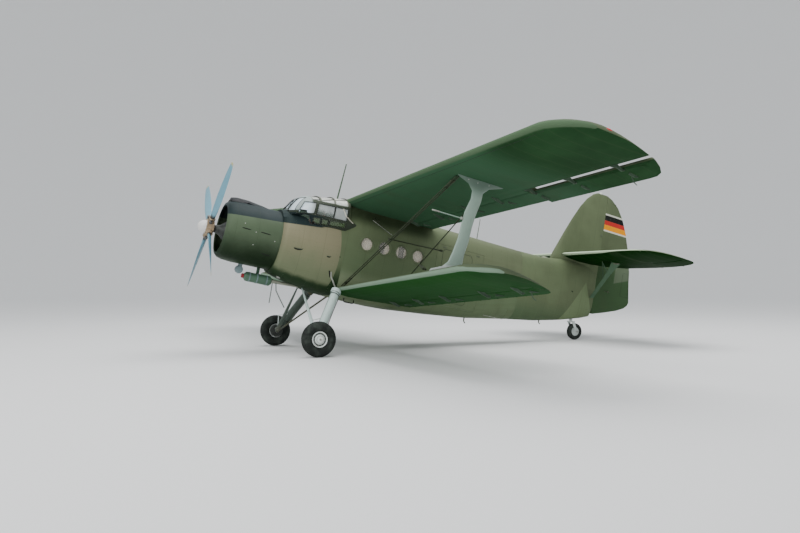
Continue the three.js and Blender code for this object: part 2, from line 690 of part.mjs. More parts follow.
// Propeller with four blades
const BLADE = [
  // radius, chord, thickness, pitch
  [150, 110, 90, 50],
  [300, 130, 70, 46],
  [500, 168, 44, 40],
  [800, 208, 30, 33],
  [1150, 212, 22, 27],
  [1480, 188, 16, 22],
  [1700, 144, 11, 19],
  [1785, 96, 7, 18],
  [PROP_RADIUS, 40, 4, 18],
];
const blade = solid(loft(BLADE.map(([r, chord, thick, pitch]) => {
  const a = pitch * Math.PI / 180;
  return Array.from({ length: 10 }, (_, i) => {
    const t = (i / 10) * 2 * Math.PI;
    const u = (chord / 2) * Math.cos(t);
    const v = (thick / 2) * Math.sin(t);
    return [-u * Math.cos(a) + v * Math.sin(a), -u * Math.sin(a) - v * Math.cos(a), r];
  });
})));
const hub = lathe([
  [0, -270], [40, -262], [95, -228], [135, -170], [150, -110], [150, -95], [165, -90], [165, 90], [0, 90],
], 20, 'y', [0, 0, 0]);
const blades = [0, 1, 2, 3].map((k) => blade.rotate([0, BLADE_START + 90 * k, 0]));
node('propeller', joined([hub, ...blades]).translate([0, HUB.y, HUB.z]), TEAL);
axis('propeller', [0, HUB.y, HUB.z], [0, 1, 0]);

// Heater muff under the nose
const muffOutline = [[0, -1536], [60, -1530], [112, -1480], [118, -900], [70, -849], [0, -849]];
const muff = lathe(muffOutline, 18, 'y', [0, 0, 1132]);
const duct = bar([0, -880, 1140], [0, -165, 1150], 48, 30, 10)
  .subtract(hullGrown);
const muffBracket = box(-20, 20, -1250, -1180, 1200, 1383.5).add(muff).add(duct);
node('heater_muff', muffBracket, TEAL);

// Exhaust pipe, on the starboard side behind the cowl
const EXHAUST = [[-540, -930, 1600], [-800, -770, 1500], [-830, -420, 1415]];
const exhaust = bar(EXHAUST[0], EXHAUST[1], 85, 85, 14).add(bar(EXHAUST[1], EXHAUST[2], 85, 82, 14))
  .subtract(bar([-827, -470, 1427], [-833, -390, 1408], 74, 74, 14)).subtract(hullGrown);
node('exhaust_pipe', largest(exhaust), METAL);

// Main gear legs
const oleo = joined([
  bar([1525, 30, 90], [1380, 155, 370], 60, 60, 14),
  bar([1411, 129, 310], [965, 462, 1170], 104, 104, 16),
  bar([993, 441, 1116], [955, 469, 1190], 126, 126, 16),
]);
const frontBrace = bar([1500, 0, 60], [150, -125, 1150], [58, 26], [18, 18], 12);
const rearBrace = bar([1500, 60, 60], [150, 655, 1060], [26, 20], [26, 20], 8);
const knuckle = bar([1440, 0, 60], [1560, 0, 40], [70, 60], [70, 60], 12)
  .add(bar([1500, 0, 0], [1672, 0, 0], 48, 48, 12));
const leg = joined([oleo, frontBrace, rearBrace, knuckle]).subtract(hullGrown)
  .subtract(lower.fixed).subtract(lower.fixed.translate([0, -3, 0]));
node('main_leg_port', largest(leg), PALE_BLUE);
node('main_leg_stbd', mirrored(largest(leg)), PALE_BLUE);

// Main wheels, turned about x
const TYRE_SIDE = [
  // part of the section's height, part of the width
  [0, 0.28], [0.12, 0.37], [0.28, 0.455], [0.5, 0.5], [0.72, 0.445], [0.88, 0.335], [0.97, 0.18],
];
const tyreProfile = (R, w, bead) => {
  const side = (sign) => TYRE_SIDE.map(([up, out]) => [bead + (R - bead) * up, sign * w * out]);
  return [...side(-1), [R, 0], ...side(1).reverse(), [bead, -w * TYRE_SIDE[0][1]]];
};
const mw = MAIN_WHEEL;
const tyre = lathe(tyreProfile(mw.radius, mw.width, mw.bead), 36, 'x', [mw.x, 0, 0]);
const rimProfile = [
  [0, -45], [70, -45], [80, -18], [152, -8], [158, -84], [177.6, -86], [177.6, 88], [154, 92],
  [148, 62], [118, 60], [112, 84], [78, 112], [0, 124],
];
const rim = lathe(rimProfile, 36, 'x', [mw.x, 0, 0]);
[['port', 1], ['stbd', -1]].forEach(([side, sign]) => {
  node(`main_tyre_${side}`, sign > 0 ? tyre : mirrored(tyre), RUBBER);
  node(`main_rim_${side}`, sign > 0 ? rim : mirrored(rim), WHITE);
  axis(`main_wheel_${side}`, [sign * mw.x, 0, 0], [1, 0, 0]);
});

// Tail wheel, laid out upright on the ground
const tw = TAIL_WHEEL;
const tailCentre = (() => {
  const z = (tw.radius - AXLE_HEIGHT + tw.y * Math.sin(PITCH)) / Math.cos(PITCH);
  return new THREE.Vector3(0, tw.y, z).applyMatrix4(level);
})();
const ty = tailCentre.y;
const tz = tw.radius;
const swivelY = ty - tw.trail;
const tailTyre = lathe(tyreProfile(tw.radius, tw.width, 125), 24, 'x', [0, ty, tz]);
const tailRim = lathe([[0, -60], [124.6, -52], [124.6, 52], [0, 60]], 24, 'x', [0, ty, tz]);
node('tail_tyre', tailTyre, RUBBER, true);
node('tail_rim', tailRim, WHITE, true);
axis('tail_wheel', [0, ty, tz], [1, 0, 0], true);
const forkArm = bar([105, ty, tz], [105, swivelY + 10, tz + 290], [40, 12], [44, 12], 8)
  .add(bar([66, ty, tz], [105, ty, tz], 20, 20, 10));
const fork = joined([
  forkArm, mirrored(forkArm),
  box(-115, 115, swivelY - 40, swivelY + 60, tz + 262, tz + 300),
  bar([0, swivelY, tz + 290], [0, swivelY, tz + 330], 45, 45, 12),
]);
node('tail_fork', fork, PALE_BLUE, true);
axis('tail_swivel', [0, swivelY, tz + 300], [0, 0, 1], true);
const legTop = bar([0, swivelY, tz + 336], [0, swivelY, tz + 640], 50, 56, 12)
  .subtract(moved(hullGrown, level));
node('tail_leg', largest(legTop), PALE_BLUE, true);

// Cabin interior: floor, bulkhead, benches, cockpit seats and panel
const doorway = box(400, 1200, DOOR.y0 - 20, DOOR.y1 + 20, 1300, 1500).subtract(hull(2700, 4600, SKIN + 8));
// The cockpit's floor is a raised deck with a step down through the bulkhead's doorway
const DECK = { front: -900, rear: 480, low: 1860, top: 1880 };
const floorForm = hull(-960, 5600, SKIN + 1)
  .intersect(joined([
    box(-1000, 1000, -960, 5600, 1380, 1400),
    box(-1000, 1000, DECK.front, DECK.rear, DECK.low, DECK.top),
    box(-1000, 1000, DECK.rear - 20, DECK.rear, 1390, DECK.top),
    box(-1000, 1000, DECK.front, DECK.front + 20, 1390, DECK.top),
  ]))
  .subtract(doorway);
node('cabin_floor', largest(floorForm), METAL);
const bench = joined([
  box(520, 830, 1000, 2700, 1790, 1830),
  box(560, 600, 1100, 1140, 1400.5, 1800), box(560, 600, 2560, 2600, 1400.5, 1800),
  box(780, 820, 1100, 1140, 1400.5, 1800), box(780, 820, 2560, 2600, 1400.5, 1800),
]);
node('bench_port', bench, METAL);
node('bench_stbd', mirrored(bench), METAL);
const bulkhead = hull(501, 560, SKIN + 1).intersect(box(-1000, 1000, 520, 545, 1401, 3700))
  .subtract(box(-330, 330, 400, 700, 1300, 3000));
node('bulkhead', largest(bulkhead), INTERIOR);
const seat = joined([
  box(180, 620, -380, 60, 2190, 2280), box(190, 610, 0, 62, 2270, 2960), box(300, 500, 12, 50, 2950, 3110),
  box(360, 440, -200, -120, 1900, 2200), box(-10, 560, -260, -60, 1881, 1910),
]);
node('cockpit_seats', both(seat), INTERIOR);
const panel = box(-600, 600, -640, -600, 2150, 2700).add(box(-60, 60, -640, -300, 2000, 2200))
  .add(box(-50, 50, -360, -305, 1881, 2010)).intersect(hull(-900, -200, SKIN + 2));
node('instrument_panel', panel, SLATE);

// Stand the aircraft on the ground and centre it on its own box
const whole = new THREE.Box3().setFromObject(aircraft);
const shift = new THREE.Vector3(
  -(whole.min.x + whole.max.x) / 2, -(whole.min.y + whole.max.y) / 2, -whole.min.z,
);
aircraft.children.forEach((mesh) => mesh.geometry.translate(shift.x, shift.y, shift.z));
Object.values(aircraft.userData.axes).forEach(({ point }) => point.add(shift));
aircraft.userData.shift = shift;

export default aircraft;
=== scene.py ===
import bpy
import bmesh
import json
import math
from mathutils import Matrix, Vector
from mathutils.bvhtree import BVHTree


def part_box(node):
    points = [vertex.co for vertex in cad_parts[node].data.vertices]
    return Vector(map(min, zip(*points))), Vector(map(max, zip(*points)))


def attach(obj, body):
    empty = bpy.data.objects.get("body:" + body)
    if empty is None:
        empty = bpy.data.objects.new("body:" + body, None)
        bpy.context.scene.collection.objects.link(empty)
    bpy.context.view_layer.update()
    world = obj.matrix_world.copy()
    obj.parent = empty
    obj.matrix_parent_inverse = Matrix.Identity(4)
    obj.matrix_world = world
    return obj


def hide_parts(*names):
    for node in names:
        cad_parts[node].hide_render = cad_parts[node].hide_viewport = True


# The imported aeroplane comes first: every skin, wheel and wing is already in its place, parked nose-up.
# What follows dresses those parts and adds the small fittings that ride on them.
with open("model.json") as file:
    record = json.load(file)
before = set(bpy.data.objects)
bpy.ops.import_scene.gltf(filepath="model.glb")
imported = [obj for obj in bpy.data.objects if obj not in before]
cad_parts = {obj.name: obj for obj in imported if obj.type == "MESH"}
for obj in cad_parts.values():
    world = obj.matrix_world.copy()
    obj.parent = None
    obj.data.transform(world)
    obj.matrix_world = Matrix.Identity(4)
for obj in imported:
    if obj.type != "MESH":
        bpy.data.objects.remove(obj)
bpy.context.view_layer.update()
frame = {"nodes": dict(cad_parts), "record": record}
nodes = frame["nodes"]
body_of = {node: body for body, held in frame["record"]["behaviour"]["bodies"].items() for node in held}
SIDES = (("port", 1), ("stbd", -1))

# Places are given on the level airframe: x to port, s aft of the main axle, h above it, in metres.
# The parked airframe is that one pitched nose-up about the main axle.
PITCH = math.radians(11.8)
tyre_low, tyre_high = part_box("main_tyre_port")
axle_y = (tyre_low[1] + tyre_high[1]) / 2
axle_z = (tyre_low[2] + tyre_high[2]) / 2
PARKED = Matrix.Translation((0, axle_y, axle_z)) @ Matrix.Rotation(-PITCH, 4, "X")
LEVEL = PARKED.inverted()

# The camera stands off the port bow at a standing person's eye height, well outside the wing tip.
# It looks almost level, with a 35 mm lens on full frame.
CAMERA_AZIMUTH = math.radians(64.9)
CAMERA_ELEVATION = math.radians(-0.98)
CAMERA_ROLL = math.radians(-0.06)
FOCAL_PIXELS, FRAME_WIDTH = 778.6, 800


def put(name, data):
    made = bpy.data.objects.new(name, data)
    bpy.context.scene.collection.objects.link(made)
    return made


camera = put("camera", bpy.data.cameras.new("camera"))
back = Vector((
    math.sin(CAMERA_AZIMUTH) * math.cos(CAMERA_ELEVATION),
    -math.cos(CAMERA_AZIMUTH) * math.cos(CAMERA_ELEVATION),
    math.sin(CAMERA_ELEVATION),
))
level_right = Vector((math.cos(CAMERA_AZIMUTH), math.sin(CAMERA_AZIMUTH), 0))
right = Matrix.Rotation(CAMERA_ROLL, 3, back) @ level_right
turn = Matrix((right, back.cross(right), back)).transposed()
CAMERA_OUT, CAMERA_AHEAD, EYE_HEIGHT = 18.18, 5.71, 1.72
camera.matrix_world = Matrix.Translation((CAMERA_OUT, axle_y - CAMERA_AHEAD, EYE_HEIGHT)) @ turn.to_4x4()
camera.data.sensor_width = 36
camera.data.lens = FOCAL_PIXELS / FRAME_WIDTH * camera.data.sensor_width
camera.data.clip_end = 500
bpy.context.scene.camera = camera


# The fuselage is a stressed skin of riveted aluminium sheet over pressed frames, brushed matt olive.
# The paint has chalked and run; the panel between the engine bay and the cabin is a tan replacement, and a
# slate anti-glare band runs along the top of the nose to the windscreen.
class Amount:
    # A number that a paint's nodes work out at each point of the skin; it takes part in plain sums
    def __init__(self, shader, socket):
        self.shader, self.socket = shader, socket

    def __add__(self, other):
        return self.shader.math("ADD", self, other)

    def __sub__(self, other):
        return self.shader.math("SUBTRACT", self, other)

    def __rsub__(self, other):
        return self.shader.math("SUBTRACT", other, self)

    def __mul__(self, other):
        return self.shader.math("MULTIPLY", self, other)

    def __abs__(self):
        return self.shader.math("ABSOLUTE", self)

    def most(self, other):
        return self.shader.math("MAXIMUM", self, other)

    def scaled(self, times, more):
        return self.shader.math("MULTIPLY_ADD", self, times, more)

    def curve(self, a, b, c):
        # The quadratic a + b * value + c * value squared
        return self.shader.math("MULTIPLY_ADD", self.scaled(c, b), self, a)

    def ramp(self, start, end):
        made = self.shader.node("MapRange", self, start, end, 0.0, 1.0, interpolation_type="SMOOTHSTEP")
        return Amount(self.shader, made.outputs[0])

    def inside(self, low, high, soft=0.004):
        return self.ramp(low - soft, low + soft) * self.ramp(high + soft, high - soft)

    def repeat(self, pitch, half, offset=0.0):
        return self.shader.math("PINGPONG", self - offset, pitch / 2).ramp(half * 1.3, half * 0.7)


class Shader:
    def __init__(self, name, colour, roughness, metallic=0.0):
        self.material = bpy.data.materials.new(name)
        self.material.use_nodes = True
        self.tree = self.material.node_tree
        self.surface = self.tree.nodes["Principled BSDF"]
        self.give("Base Color", colour)
        self.give("Roughness", roughness)
        self.give("Metallic", metallic)
        self.give("Specular IOR Level", 0.2 if roughness > 0.45 else 0.5)
        self.object = self.tree.nodes.new("ShaderNodeTexCoord").outputs["Object"]

    def feed(self, socket, value):
        value = getattr(value, "socket", value)
        if isinstance(value, bpy.types.NodeSocket):
            self.tree.links.new(value, socket)
        elif value is not None:
            socket.default_value = (*value, 1) if socket.type == "RGBA" else value

    def give(self, name, value):
        self.feed(self.surface.inputs[name], value)

    def node(self, kind, *values, **settings):
        made = self.tree.nodes.new("ShaderNode" + kind)
        for key, value in settings.items():
            setattr(made, key, value)
        for socket, value in zip(made.inputs, values):
            self.feed(socket, value)
        return made

    def math(self, operation, a, b=0.0, c=0.0):
        return Amount(self, self.node("Math", a, b, c, operation=operation).outputs[0])

    def parts(self, vector):
        return [Amount(self, socket) for socket in self.node("SeparateXYZ", vector).outputs]

    def noise(self, scale, detail=4.0, stretch=(1, 1, 1), rough=0.55):
        where = self.node("Mapping", self.object, None, None, stretch).outputs[0]
        return Amount(self, self.node("TexNoise", where, None, scale, detail, rough).outputs["Fac"])

    def tint(self, amount, below, above, share=None):
        # Of the mix node's sockets, 0 is the amount and 6, 7 and the output 2 are its colours
        made = self.node("Mix", amount * share if share else amount, data_type="RGBA")
        self.feed(made.inputs[6], below)
        self.feed(made.inputs[7], above)
        return made.outputs[2]

    def level(self):
        sine, cosine = math.sin(PITCH), math.cos(PITCH)
        start = (0, -axle_y * cosine + axle_z * sine, -axle_y * sine - axle_z * cosine)
        return self.parts(self.node("Mapping", self.object, start, (PITCH, 0, 0)).outputs[0])

    def normal(self):
        return self.parts(self.node("NewGeometry").outputs["Normal"])

    def length(self, a, b):
        return self.math("SQRT", a * a + b * b)

    def finish(self, colour=None, roughness=None, height=None, strength=0.3, distance=0.004):
        self.give("Base Color", colour)
        self.give("Roughness", roughness)
        if height is not None:
            bump = self.node("Bump")
            for name, value in (("Strength", strength), ("Distance", distance), ("Height", height)):
                self.feed(bump.inputs[name], value)
            self.give("Normal", bump.outputs[0])
        return self.material


def shade(colour, times):
    return tuple(min(1.0, value * times) for value in colour)


def plain_mesh(name, seed, body, material=None):
    made = bpy.data.objects.get(name) or put(name, seed)
    if made.modifiers:
        ready = made.evaluated_get(bpy.context.evaluated_depsgraph_get())
        grown = bpy.data.meshes.new_from_object(ready)
        made.modifiers.clear()
        made.data = grown
    if material:
        made.data.materials.clear()
        made.data.materials.append(material)
    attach(made, body)
    return made


def rounded(mesh, angle=None):
    mesh.polygons.foreach_set("use_smooth", [True] * len(mesh.polygons))
    if angle:
        mesh.set_sharp_from_angle(angle=math.radians(angle))


def smooth_skin(node, material, angle=30, reshape=None):
    # The CAD skin again with its loose triangles merged, so that light rolls over its curves
    mesh = nodes[node].data.copy()
    work = bmesh.new()
    work.from_mesh(mesh)
    bmesh.ops.remove_doubles(work, verts=work.verts, dist=2e-5)
    if reshape:
        reshape(work)
    work.to_mesh(mesh)
    work.free()
    rounded(mesh, angle)
    made = put(node + "_skin", mesh)
    weighted = made.modifiers.new("weighted", "WEIGHTED_NORMAL")
    weighted.keep_sharp = True
    plain_mesh(made.name, mesh, body_of[node], material)
    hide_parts(node)
    return made


OLIVE = (0.118, 0.150, 0.080)
DARK_OLIVE = (0.014, 0.034, 0.012)
REAR_OLIVE = (0.124, 0.148, 0.082)
TAN = (0.222, 0.206, 0.128)
SLATE = (0.015, 0.027, 0.028)
PATCH = (0.155, 0.205, 0.105)
FRAME_PITCH, STRINGER_PITCH = 0.52, 0.36


def painted_sheet(name, base, zones=None, roughness=0.62):
    shader = Shader(name, base, roughness)
    shader.give("Specular IOR Level", 0.1)
    x, s, h = shader.level()
    broad = shader.noise(0.9, 5.0)
    streaks = shader.noise(2.2, 4.0, (1, 1, 0.25))
    fine = shader.noise(26.0, 3.0)
    colour = shader.tint(broad.ramp(0.35, 0.7), shade(base, 0.88), shade(base, 1.1))
    if zones:
        colour = zones(shader, colour, x, s, h)
    seams = s.repeat(FRAME_PITCH, 0.0035)
    stringers = h.repeat(STRINGER_PITCH, 0.002, 0.06)
    lines = seams.most(stringers * 0.6)
    colour = shader.tint(lines, colour, shade(base, 0.4), 0.3)
    colour = shader.tint(streaks.ramp(0.52, 0.75), colour, shade(base, 0.55), 0.22)
    colour = shader.tint(fine.ramp(0.6, 0.8), colour, shade(base, 1.5), 0.12)
    gloss = streaks.scaled(0.25, roughness - 0.12)
    dents = shader.noise(3.5, 2.0).scaled(1.6, fine * 0.15)
    return shader.finish(colour, gloss, dents - lines, 0.25, 0.003)


def slate_band(shader, s, h):
    edge = s.scaled(0.0757, 2.587)
    return (h - edge).ramp(-0.008, 0.008)


def nose_zones(shader, colour, x, s, h):
    # The nose darkens towards its underside as painted shade; the tan panel's lower edge fades into it, its
    # rear edge is a brushed line
    wander = (shader.noise(3.0, 3.0) - 0.5) * 0.12
    low_edge = s.curve(1.251, -0.0934, 0.0826) + wander
    above = (h - low_edge).ramp(-0.02, 0.10)
    rear_edge = h.curve(-0.4942, 0.9044, -0.2256)
    ahead = (s - (rear_edge + wander * 0.1)).ramp(0.006, -0.006)
    behind_cowl = s.ramp(-1.003, -1.001)
    tan = above * ahead * behind_cowl
    # Painted shade: the lower nose darkens to DARK_OLIVE
    colour = shader.tint(h.ramp(2.0, 1.3), colour, DARK_OLIVE)
    blotches = shader.noise(1.6) * 0.7
    old_tan = shader.tint((h - blotches).ramp(2.05, 1.05), TAN, (0.145, 0.168, 0.095))
    colour = shader.tint(tan, colour, old_tan)
    band = slate_band(shader, s, h) * s.ramp(-0.05, -0.15)
    return shader.tint(band, colour, SLATE)


def tail_zones(shader, colour, x, s, h):
    leaning = s - h * 0.612
    lower = (h + s * 2.13).ramp(20.54, 20.48)
    patch = leaning.ramp(6.392, 6.412) * lower
    # Painted shade: the cone darkens towards its underside
    colour = shader.tint(h.ramp(2.3, 1.5), colour, (0.072, 0.112, 0.056))
    return shader.tint(patch, colour, PATCH)


def cabin_zones(shader, colour, x, s, h):
    wander = (shader.noise(1.3, 3.0) - 0.5) * 0.5
    aft = (s + wander).ramp(2.3, 3.9)
    colour = shader.tint(h.ramp(2.75, 1.9), colour, (0.105, 0.150, 0.078), 0.6)
    # Painted light: the low front of the cabin sides is made paler
    wear_and_painted_light = h.ramp(1.80, 1.50) * s.ramp(2.3, 1.3)
    colour = shader.tint(wear_and_painted_light, colour, (0.175, 0.215, 0.125))
    shaded = h.inside(2.94, 3.29, 0.14) * s.inside(0.4, 2.7, 0.25)
    colour = shader.tint(shaded, colour, (0.018, 0.030, 0.012), 0.85)
    return shader.tint(aft * h.ramp(2.1, 2.8), colour, REAR_OLIVE)


smooth_skin("nose_section", painted_sheet("nose_paint", OLIVE, nose_zones))
cabin_paint = painted_sheet("cabin_paint", OLIVE, cabin_zones)
smooth_skin("cabin_shell", cabin_paint)
smooth_skin("tail_cone", painted_sheet("tail_cone_paint", (0.115, 0.146, 0.077), tail_zones))


# Round-headed rivets hold the sheets to the frames and stringers, in rows a hand's breadth apart.
# A bead of sealing paint stands a little proud along each frame where two sheets lap.
class Skin:
    def __init__(self, *names):
        points, faces = [], []
        for name in names:
            mesh, first = nodes[name].data, len(points)
            points.extend(LEVEL @ vertex.co for vertex in mesh.vertices)
            faces.extend(tuple(first + i for i in face.vertices) for face in mesh.polygons)
        self.tree = BVHTree.FromPolygons(points, faces)

    def hit(self, start, towards):
        point, normal = self.tree.ray_cast(Vector(start), Vector(towards).normalized())[:2]
        return (point, normal) if point and normal.dot(Vector(towards)) < 0 else None

    def hits(self, starts, towards):
        found = [self.hit(start, towards) for start in starts]
        return [spot for spot in found if spot]

    def beside(self, places, side=1, abeam=2.4):
        return self.hits([(abeam * side, s, h) for s, h in places], (-side, 0, 0))

    def before(self, places):
        return self.hits([(x, -3, h) for x, h in places], (0, 1, 0))

    def over(self, places, height=4.2):
        return self.hits([(x, s, height) for x, s in places], (0, 0, -1))


def spoke(angle):
    return Vector((math.sin(angle), 0, math.cos(angle)))


def girth(skin, s, start, end, steps=160, reach=2.2):
    found = []
    centre = Vector((0, s, HULL_MIDDLE))
    for k in range(steps + 1):
        out = spoke(math.radians(start + (end - start) * k / steps))
        spot = skin.hit(centre + out * reach, -out)
        if spot and (spot[0] - centre).dot(out) > 0.1:
            found.append(spot)
    return found


def spaced(line, pitch):
    picked, gone = line[:1], 0.0
    for (before, _), spot in zip(line, line[1:]):
        gone += (spot[0] - before).length
        if gone >= pitch:
            picked.append(spot)
            gone = 0.0
    return picked


def tree_with(name, **sizes):
    tree = bpy.data.node_groups.new(name, "GeometryNodeTree")
    tree.interface.new_socket(name="Geometry", in_out="INPUT", socket_type="NodeSocketGeometry")
    for key, value in sizes.items():
        kind = "NodeSocketInt" if isinstance(value, int) else "NodeSocketFloat"
        tree.interface.new_socket(name=key, in_out="INPUT", socket_type=kind).default_value = value
    tree.interface.new_socket(name="Material", in_out="INPUT", socket_type="NodeSocketMaterial")
    tree.interface.new_socket(name="Geometry", in_out="OUTPUT", socket_type="NodeSocketGeometry")
    return tree, tree.nodes.new("NodeGroupInput"), tree.nodes.new("NodeGroupOutput")


def join(tree, *pairs):
    for source, target in pairs:
        tree.links.new(source, target)


def finish_tree(tree, given, made, shape):
    real = tree.nodes.new("GeometryNodeRealizeInstances")
    painted = tree.nodes.new("GeometryNodeSetMaterial")
    join(tree, (shape, real.inputs[0]), (real.outputs[0], painted.inputs["Geometry"]),
         (given.outputs["Material"], painted.inputs["Material"]), (painted.outputs[0], made.inputs[0]))


def grow(name, seed, tree, body, slot, **settings):
    made = put(name, seed)
    modifier = made.modifiers.new("grow", "NODES")
    modifier.node_group = tree
    for item in tree.interface.items_tree:
        if item.name in settings and item.in_out == "INPUT":
            modifier[item.identifier] = settings[item.name]
    return plain_mesh(name, seed, body)


heads, given, made = tree_with("round_heads", Radius=0.006, Rise=0.003, Taper=0.6, Corners=6)
cone = heads.nodes.new("GeometryNodeMeshCone")
facing = heads.nodes.new("GeometryNodeInputNamedAttribute")
facing.data_type = "FLOAT_VECTOR"
facing.inputs["Name"].default_value = "facing"
aligned = heads.nodes.new("FunctionNodeAlignRotationToVector")
aligned.axis = "Z"
placed = heads.nodes.new("GeometryNodeInstanceOnPoints")
narrowed = heads.nodes.new("ShaderNodeMath")
narrowed.operation = "MULTIPLY"
join(
    heads,
    (given.outputs["Radius"], narrowed.inputs[0]),
    (given.outputs["Taper"], narrowed.inputs[1]),
    (narrowed.outputs[0], cone.inputs["Radius Top"]),
    (given.outputs["Radius"], cone.inputs["Radius Bottom"]),
    (given.outputs["Rise"], cone.inputs["Depth"]),
    (given.outputs["Corners"], cone.inputs["Vertices"]),
    (given.outputs["Geometry"], placed.inputs["Points"]),
    (cone.outputs["Mesh"], placed.inputs["Instance"]),
    (facing.outputs["Attribute"], aligned.inputs["Vector"]),
    (aligned.outputs[0], placed.inputs["Rotation"]),
)
finish_tree(heads, given, made, placed.outputs[0])


def studs(name, spots, material, radius=0.006, rise=0.003, taper=0.6, corners=6, body="airframe", slot=None):
    mesh = bpy.data.meshes.new(name)
    mesh.from_pydata([PARKED @ point for point, _ in spots], [], [])
    turned = PARKED.to_3x3()
    way = mesh.attributes.new("facing", "FLOAT_VECTOR", "POINT")
    way.data.foreach_set("vector", [value for _, normal in spots for value in turned @ normal])
    return grow(name, mesh, heads, body, slot, Radius=radius, Rise=rise, Taper=taper, Corners=corners,
                Material=material)


beads, given, made = tree_with("bead_along_edges", Radius=0.004, Sides=6)
lines = beads.nodes.new("GeometryNodeMeshToCurve")
section = beads.nodes.new("GeometryNodeCurvePrimitiveCircle")
swept = beads.nodes.new("GeometryNodeCurveToMesh")
join(
    beads,
    (given.outputs["Geometry"], lines.inputs["Mesh"]),
    (given.outputs["Sides"], section.inputs["Resolution"]),
    (given.outputs["Radius"], section.inputs["Radius"]),
    (lines.outputs[0], swept.inputs["Curve"]),
    (section.outputs[0], swept.inputs["Profile Curve"]),
)
swept.inputs["Fill Caps"].default_value = True
finish_tree(beads, given, made, swept.outputs[0])


def welts(name, paths, material, radius=0.004, sunk=0.0, sides=6, body="airframe", slot=None):
    # Each path is a list of (point, normal) pairs; sunk lowers the bead into the skin
    points, edges = [], []
    for path in paths:
        edges.extend((len(points) + i, len(points) + i + 1) for i in range(len(path) - 1))
        points.extend(PARKED @ (point - normal * sunk) for point, normal in path)
    mesh = bpy.data.meshes.new(name)
    mesh.from_pydata(points, edges, [])
    return grow(name, mesh, beads, body, slot, Radius=radius, Sides=sides, Material=material)


# The canopy stands on the hull ahead of CANOPY_REAR, so no rivets go above its sill there
HULL_MIDDLE, CANOPY_SILL, CANOPY_REAR = 2.1, 2.66, 0.75
hull_skin = Skin("nose_section", "cabin_shell", "tail_cone")
hull_frames = []
for s in [-0.72 + FRAME_PITCH * k for k in range(18)]:
    ring = girth(hull_skin, s, 0, 360)
    hull_frames.append([spot for spot in ring if spot[0].z < CANOPY_SILL or s > CANOPY_REAR])
rows = [spot for ring in hull_frames for spot in spaced(ring, 0.075)]
for s in [-0.95 + 0.08 * k for k in range(110)]:
    for angle in (48, 68, 90, 112, 132, 228, 248, 270, 292, 312):
        found = girth(hull_skin, s, angle, angle, 1)[:1]
        rows += [spot for spot in found if spot[0].z < 2.6 or s > CANOPY_REAR]
studs("hull_rivets", rows, cabin_paint, 0.0055, 0.0025, slot="olive_paint")
welts("hull_laps", [ring for ring in hull_frames if len(ring) > 150], cabin_paint, 0.012, 0.0095,
      slot="olive_paint")


# Small fittings sit on the nose: flush handles whose dark recesses are painted shade, a pale vent tube, a
# thin rod and a step.
# They are steel and aluminium pieces, riveted or clipped to the sheet and brushed over with the same paint.
def turns(sides):
    return [2 * math.pi * k / sides for k in range(sides)]


class Form:
    def __init__(self):
        self.points, self.faces = [], []

    def rings(self, rings, closed=False):
        first, count = len(self.points), len(rings[0])
        for ring in rings:
            self.points.extend(Vector(point) for point in ring)
        steps = len(rings) if closed else len(rings) - 1
        for k in range(steps):
            here, there = first + k * count, first + (k + 1) % len(rings) * count
            for i in range(count):
                j = (i + 1) % count
                self.faces.append((here + i, here + j, there + j, there + i))
        if not closed:
            self.faces.append(tuple(first + i for i in reversed(range(count))))
            self.faces.append(tuple(first + (len(rings) - 1) * count + i for i in range(count)))
        return self

    def tube(self, path, radius, sides=8, flat=1.0, wide=(0, 1, 0)):
        path = [Vector(point) for point in path]
        radii = radius if isinstance(radius, (list, tuple)) else [radius] * len(path)
        rings = []
        for k, (point, size) in enumerate(zip(path, radii)):
            ahead = (path[min(k + 1, len(path) - 1)] - path[max(k - 1, 0)]).normalized()
            across = Vector(wide) - ahead * ahead.dot(Vector(wide))
            across = across.normalized() if across.length > 0.1 else ahead.orthogonal().normalized()
            up = ahead.cross(across)
            rings.append([point + size * (across * math.cos(a) + up * flat * math.sin(a))
                          for a in turns(sides)])
        return self.rings(rings)

    def turn(self, profile, centre, axis=(0, 0, 1), sides=24, closed=False):
        centre, axis = Vector(centre), Vector(axis).normalized()
        across = axis.orthogonal().normalized()
        up = axis.cross(across)
        return self.rings([[
            centre + axis * along + max(radius, 1e-5) * (across * math.cos(a) + up * math.sin(a))
            for a in turns(sides)] for radius, along in profile], closed)

    def block(self, low, high, edge=0.006):
        rings = []
        for along, inset in ((low[2], edge), (low[2] + edge, 0), (high[2] - edge, 0), (high[2], edge)):
            x0, x1, y0, y1 = low[0] + inset, high[0] - inset, low[1] + inset, high[1] - inset
            rings.append([(x, y, along) for x, y in (
                (x0 + edge, y0), (x1 - edge, y0), (x1, y0 + edge), (x1, y1 - edge),
                (x1 - edge, y1), (x0 + edge, y1), (x0, y1 - edge), (x0, y0 + edge))])
        return self.rings(rings)

    def plate(self, outline, thick):
        outline = [Vector(point) for point in outline]
        normal = (outline[1] - outline[0]).cross(outline[2] - outline[1]).normalized() * thick / 2
        return self.rings([[point - normal for point in outline], [point + normal for point in outline]])

    def done(self, name, material, body="airframe", slot=None, angle=35, parked=False):
        mesh = bpy.data.meshes.new(name)
        mesh.from_pydata(self.points, [], self.faces)
        if not parked:
            mesh.transform(PARKED)
        work = bmesh.new()
        work.from_mesh(mesh)
        bmesh.ops.remove_doubles(work, verts=work.verts, dist=3e-5)
        bmesh.ops.recalc_face_normals(work, faces=work.faces)
        work.to_mesh(mesh)
        work.free()
        rounded(mesh, angle)
        return plain_mesh(name, mesh, body, material)


